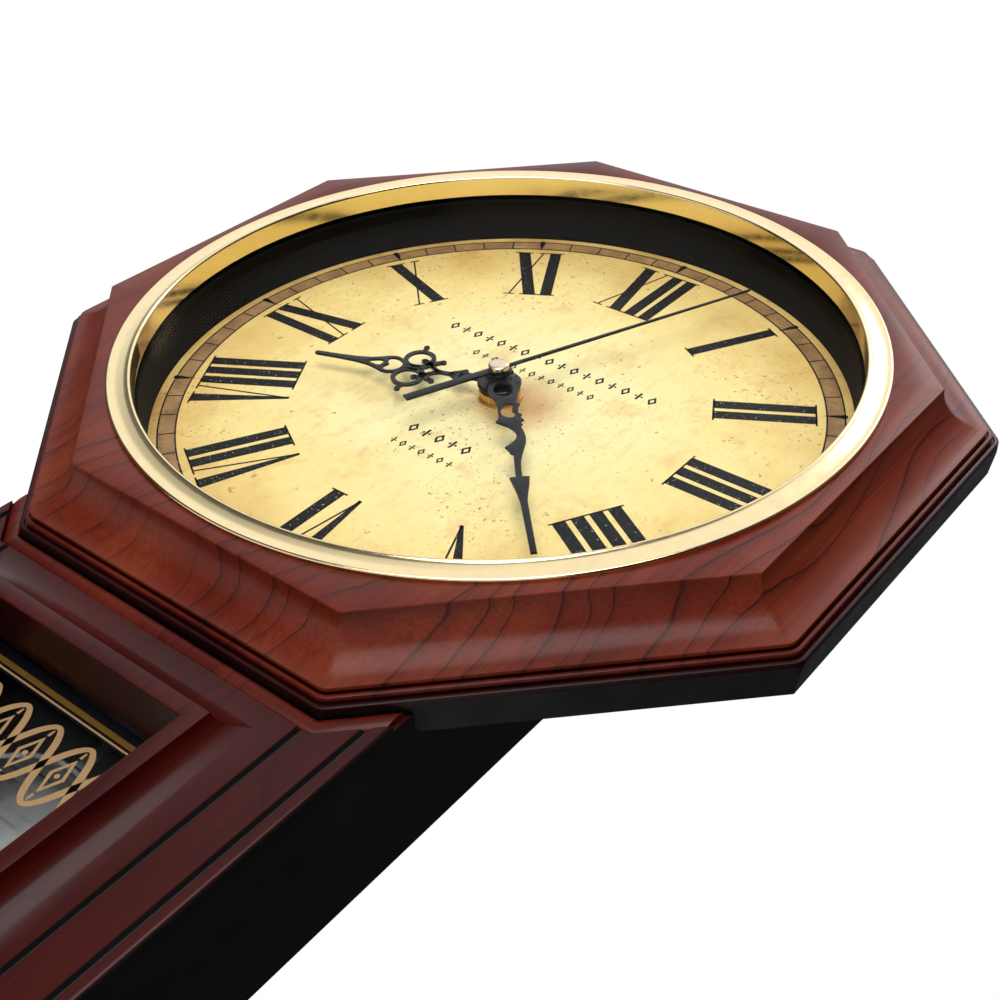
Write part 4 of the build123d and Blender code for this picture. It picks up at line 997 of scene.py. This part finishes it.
# ---- pendulum ----------------------------------------------------------------------
def build_bob():
    """A shallow dished disc with a rolled rim, drawn round the bob's own centre."""
    y, rim, radius = -208.0, 17.0, 27.0
    profile = [(0.05, rim), (radius - 0.2, rim), (radius, rim + 0.25), (radius, rim + 0.8),
               (radius - 0.5, rim + 1.25), (radius - 1.2, rim + 1.3), (radius - 1.9, rim + 1.0),
               (radius - 2.4, rim + 1.02)]
    rings = (24.0, 21, 18.2, 17.8, 17.2, 16.8, 13, 9, 5, 2, 0.05)
    profile += [(r, rim + 3.2 - 2.18 * (r / 24.6) ** 2) for r in rings]
    return lathe("bob_disc", profile, [BOB], "pendulum", ["pendulum_bob"], y=y, count=128)


# ---- carried-over CAD nodes --------------------------------------------------------
CAD_PAINT = {
    "head_shell": BLACK, "rear_case": SATIN_BLACK, "back_panel": PANEL, "window_glass": LOW_GLASS,
    "glass_retainer": SATIN_BLACK, "retainer_screws": STEEL, "frame_screws": STEEL,
    "shell_screws": STEEL, "panel_screws": STEEL, "hanger_plate": STEEL, "hanger_rivets": STEEL,
    "movement_housing": MOVEMENT, "movement_cover": MOVEMENT, "cover_screws": STEEL,
    "shaft_bushing": BRASS, "dial_washer": BRASS, "shaft_nut": BRASS, "circuit_board": BOARD,
    "step_motor_coil": COPPER, "pendulum_coil": COPPER, "battery": CELL, "battery_contact_plus": SPRING,
    "battery_contact_minus": SPRING, "pendulum_pivot": SPRING, "hour_wheel": NYLON, "minute_pipe": BRASS,
    "second_arbor": SPRING, "setting_wheel": NYLON, "setting_knob": MOVEMENT, "pendulum_lever": NYLON,
    "drive_magnet": SPRING, "pendulum_rod": BOB, "rating_nut": BRASS,
}


def paint_cad():
    for name, material in CAD_PAINT.items():
        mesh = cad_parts[name].data
        mesh.materials.clear()
        mesh.materials.append(material)
        mesh.shade_smooth()
        mesh.set_sharp_from_angle(angle=math.radians(30))


# ---- stage -------------------------------------------------------------------------
def build_stage():
    """Pale floor well below the clock, which hangs free in front of the white backdrop."""
    mesh = bpy.data.meshes.new("floor")
    side, low = 3.0, -2.2
    corners = [(-side, -side, low), (side, -side, low), (side, side, low), (-side, side, low)]
    mesh.from_pydata(corners, [], [(0, 1, 2, 3)])
    floor = bpy.data.objects.new("floor", mesh)
    paint = plain("floor_pale", (0.88, 0.88, 0.87), 0.6, 0.7, mottle=0.02, scale=3.0)
    glow = paint.node_tree.nodes["Principled BSDF"].inputs
    glow["Emission Color"].default_value = (1, 1, 1, 1)
    glow["Emission Strength"].default_value = 0.3
    mesh.materials.append(paint)
    bpy.context.scene.collection.objects.link(floor)


def add_area(name, place, target, size, power):
    light = bpy.data.lights.new(name, "AREA")
    light.shape = "RECTANGLE"
    light.size, light.size_y = size
    light.energy = power
    obj = bpy.data.objects.new(name, light)
    obj.location = place
    obj.rotation_euler = (Vector(target) - Vector(place)).to_track_quat("-Z", "Y").to_euler()
    obj.visible_camera = False
    bpy.context.scene.collection.objects.link(obj)
    return obj


def build_light():
    """White backdrop for the camera; for the object a soft glow from above left, dark below."""
    world = bpy.data.worlds.new("studio")
    world.use_nodes = True
    tree = world.node_tree
    seen = tree.nodes["Background"]
    seen.inputs["Color"].default_value = (1, 1, 1, 1)
    seen.inputs["Strength"].default_value = 1.0
    where = tree.nodes.new("ShaderNodeTexCoord")
    aim = tree.nodes.new("ShaderNodeVectorMath")
    aim.operation = "DOT_PRODUCT"
    aim.inputs[1].default_value = Vector((-0.36, -0.35, 0.86)).normalized()
    tree.links.new(where.outputs["Generated"], aim.inputs[0])
    fade = tree.nodes.new("ShaderNodeValToRGB")
    fade.color_ramp.interpolation = "EASE"
    stops = ((0.0, 0.02), (0.45, 0.10), (0.70, 0.20), (0.83, 1.20))
    while len(fade.color_ramp.elements) < len(stops):
        fade.color_ramp.elements.new(0.5)
    for element, (place, level) in zip(fade.color_ramp.elements, stops):
        element.position = place
        element.color = (level, level * 1.02, level * 1.06, 1)
    tree.links.new(aim.outputs["Value"], fade.inputs[0])
    around = tree.nodes.new("ShaderNodeBackground")
    tree.links.new(fade.outputs[0], around.inputs["Color"])
    path = tree.nodes.new("ShaderNodeLightPath")
    choice = tree.nodes.new("ShaderNodeMixShader")
    tree.links.new(path.outputs["Is Camera Ray"], choice.inputs[0])
    tree.links.new(around.outputs[0], choice.inputs[1])
    tree.links.new(seen.outputs[0], choice.inputs[2])
    tree.links.new(choice.outputs[0], tree.nodes["World Output"].inputs["Surface"])
    bpy.context.scene.world = world
    add_area("front", (0.18, -1.75, -0.28), (0, -0.05, -0.10), (1.3, 1.3), 27.0)
    add_area("back", (-0.12, 1.70, 0.10), (-0.12, 0, -0.12), (0.3, 0.3), 20.0)
    add_area("window", (-0.115, -0.77, 1.12), (0.135, -0.065, -0.07), (0.36, 0.36), 3.0)


def build_camera():
    """Camera below and to the right of the dial, close and turned, as in the photograph."""
    data = bpy.data.cameras.new("camera")
    data.sensor_width = 36.0
    data.lens = 50.87
    data.clip_start = 0.01
    camera = bpy.data.objects.new("camera", data)
    camera.location = (0.25537, -0.29786, -0.39269)
    camera.rotation_euler = Euler([math.radians(a) for a in (141.729, -38.729, 2.051)])
    bpy.context.scene.collection.objects.link(camera)
    bpy.context.scene.camera = camera


paint_cad()
build_head_frame()
build_bezel()
build_well()
build_glass()
build_dial()
build_hour_hand()
build_minute_hand()
build_second_hand()
build_cap()
build_drop_frame()
build_foot_bead()
build_window_print()
build_bob()
build_stage()
build_light()
build_camera()
bpy.context.scene.view_settings.view_transform = "Standard"
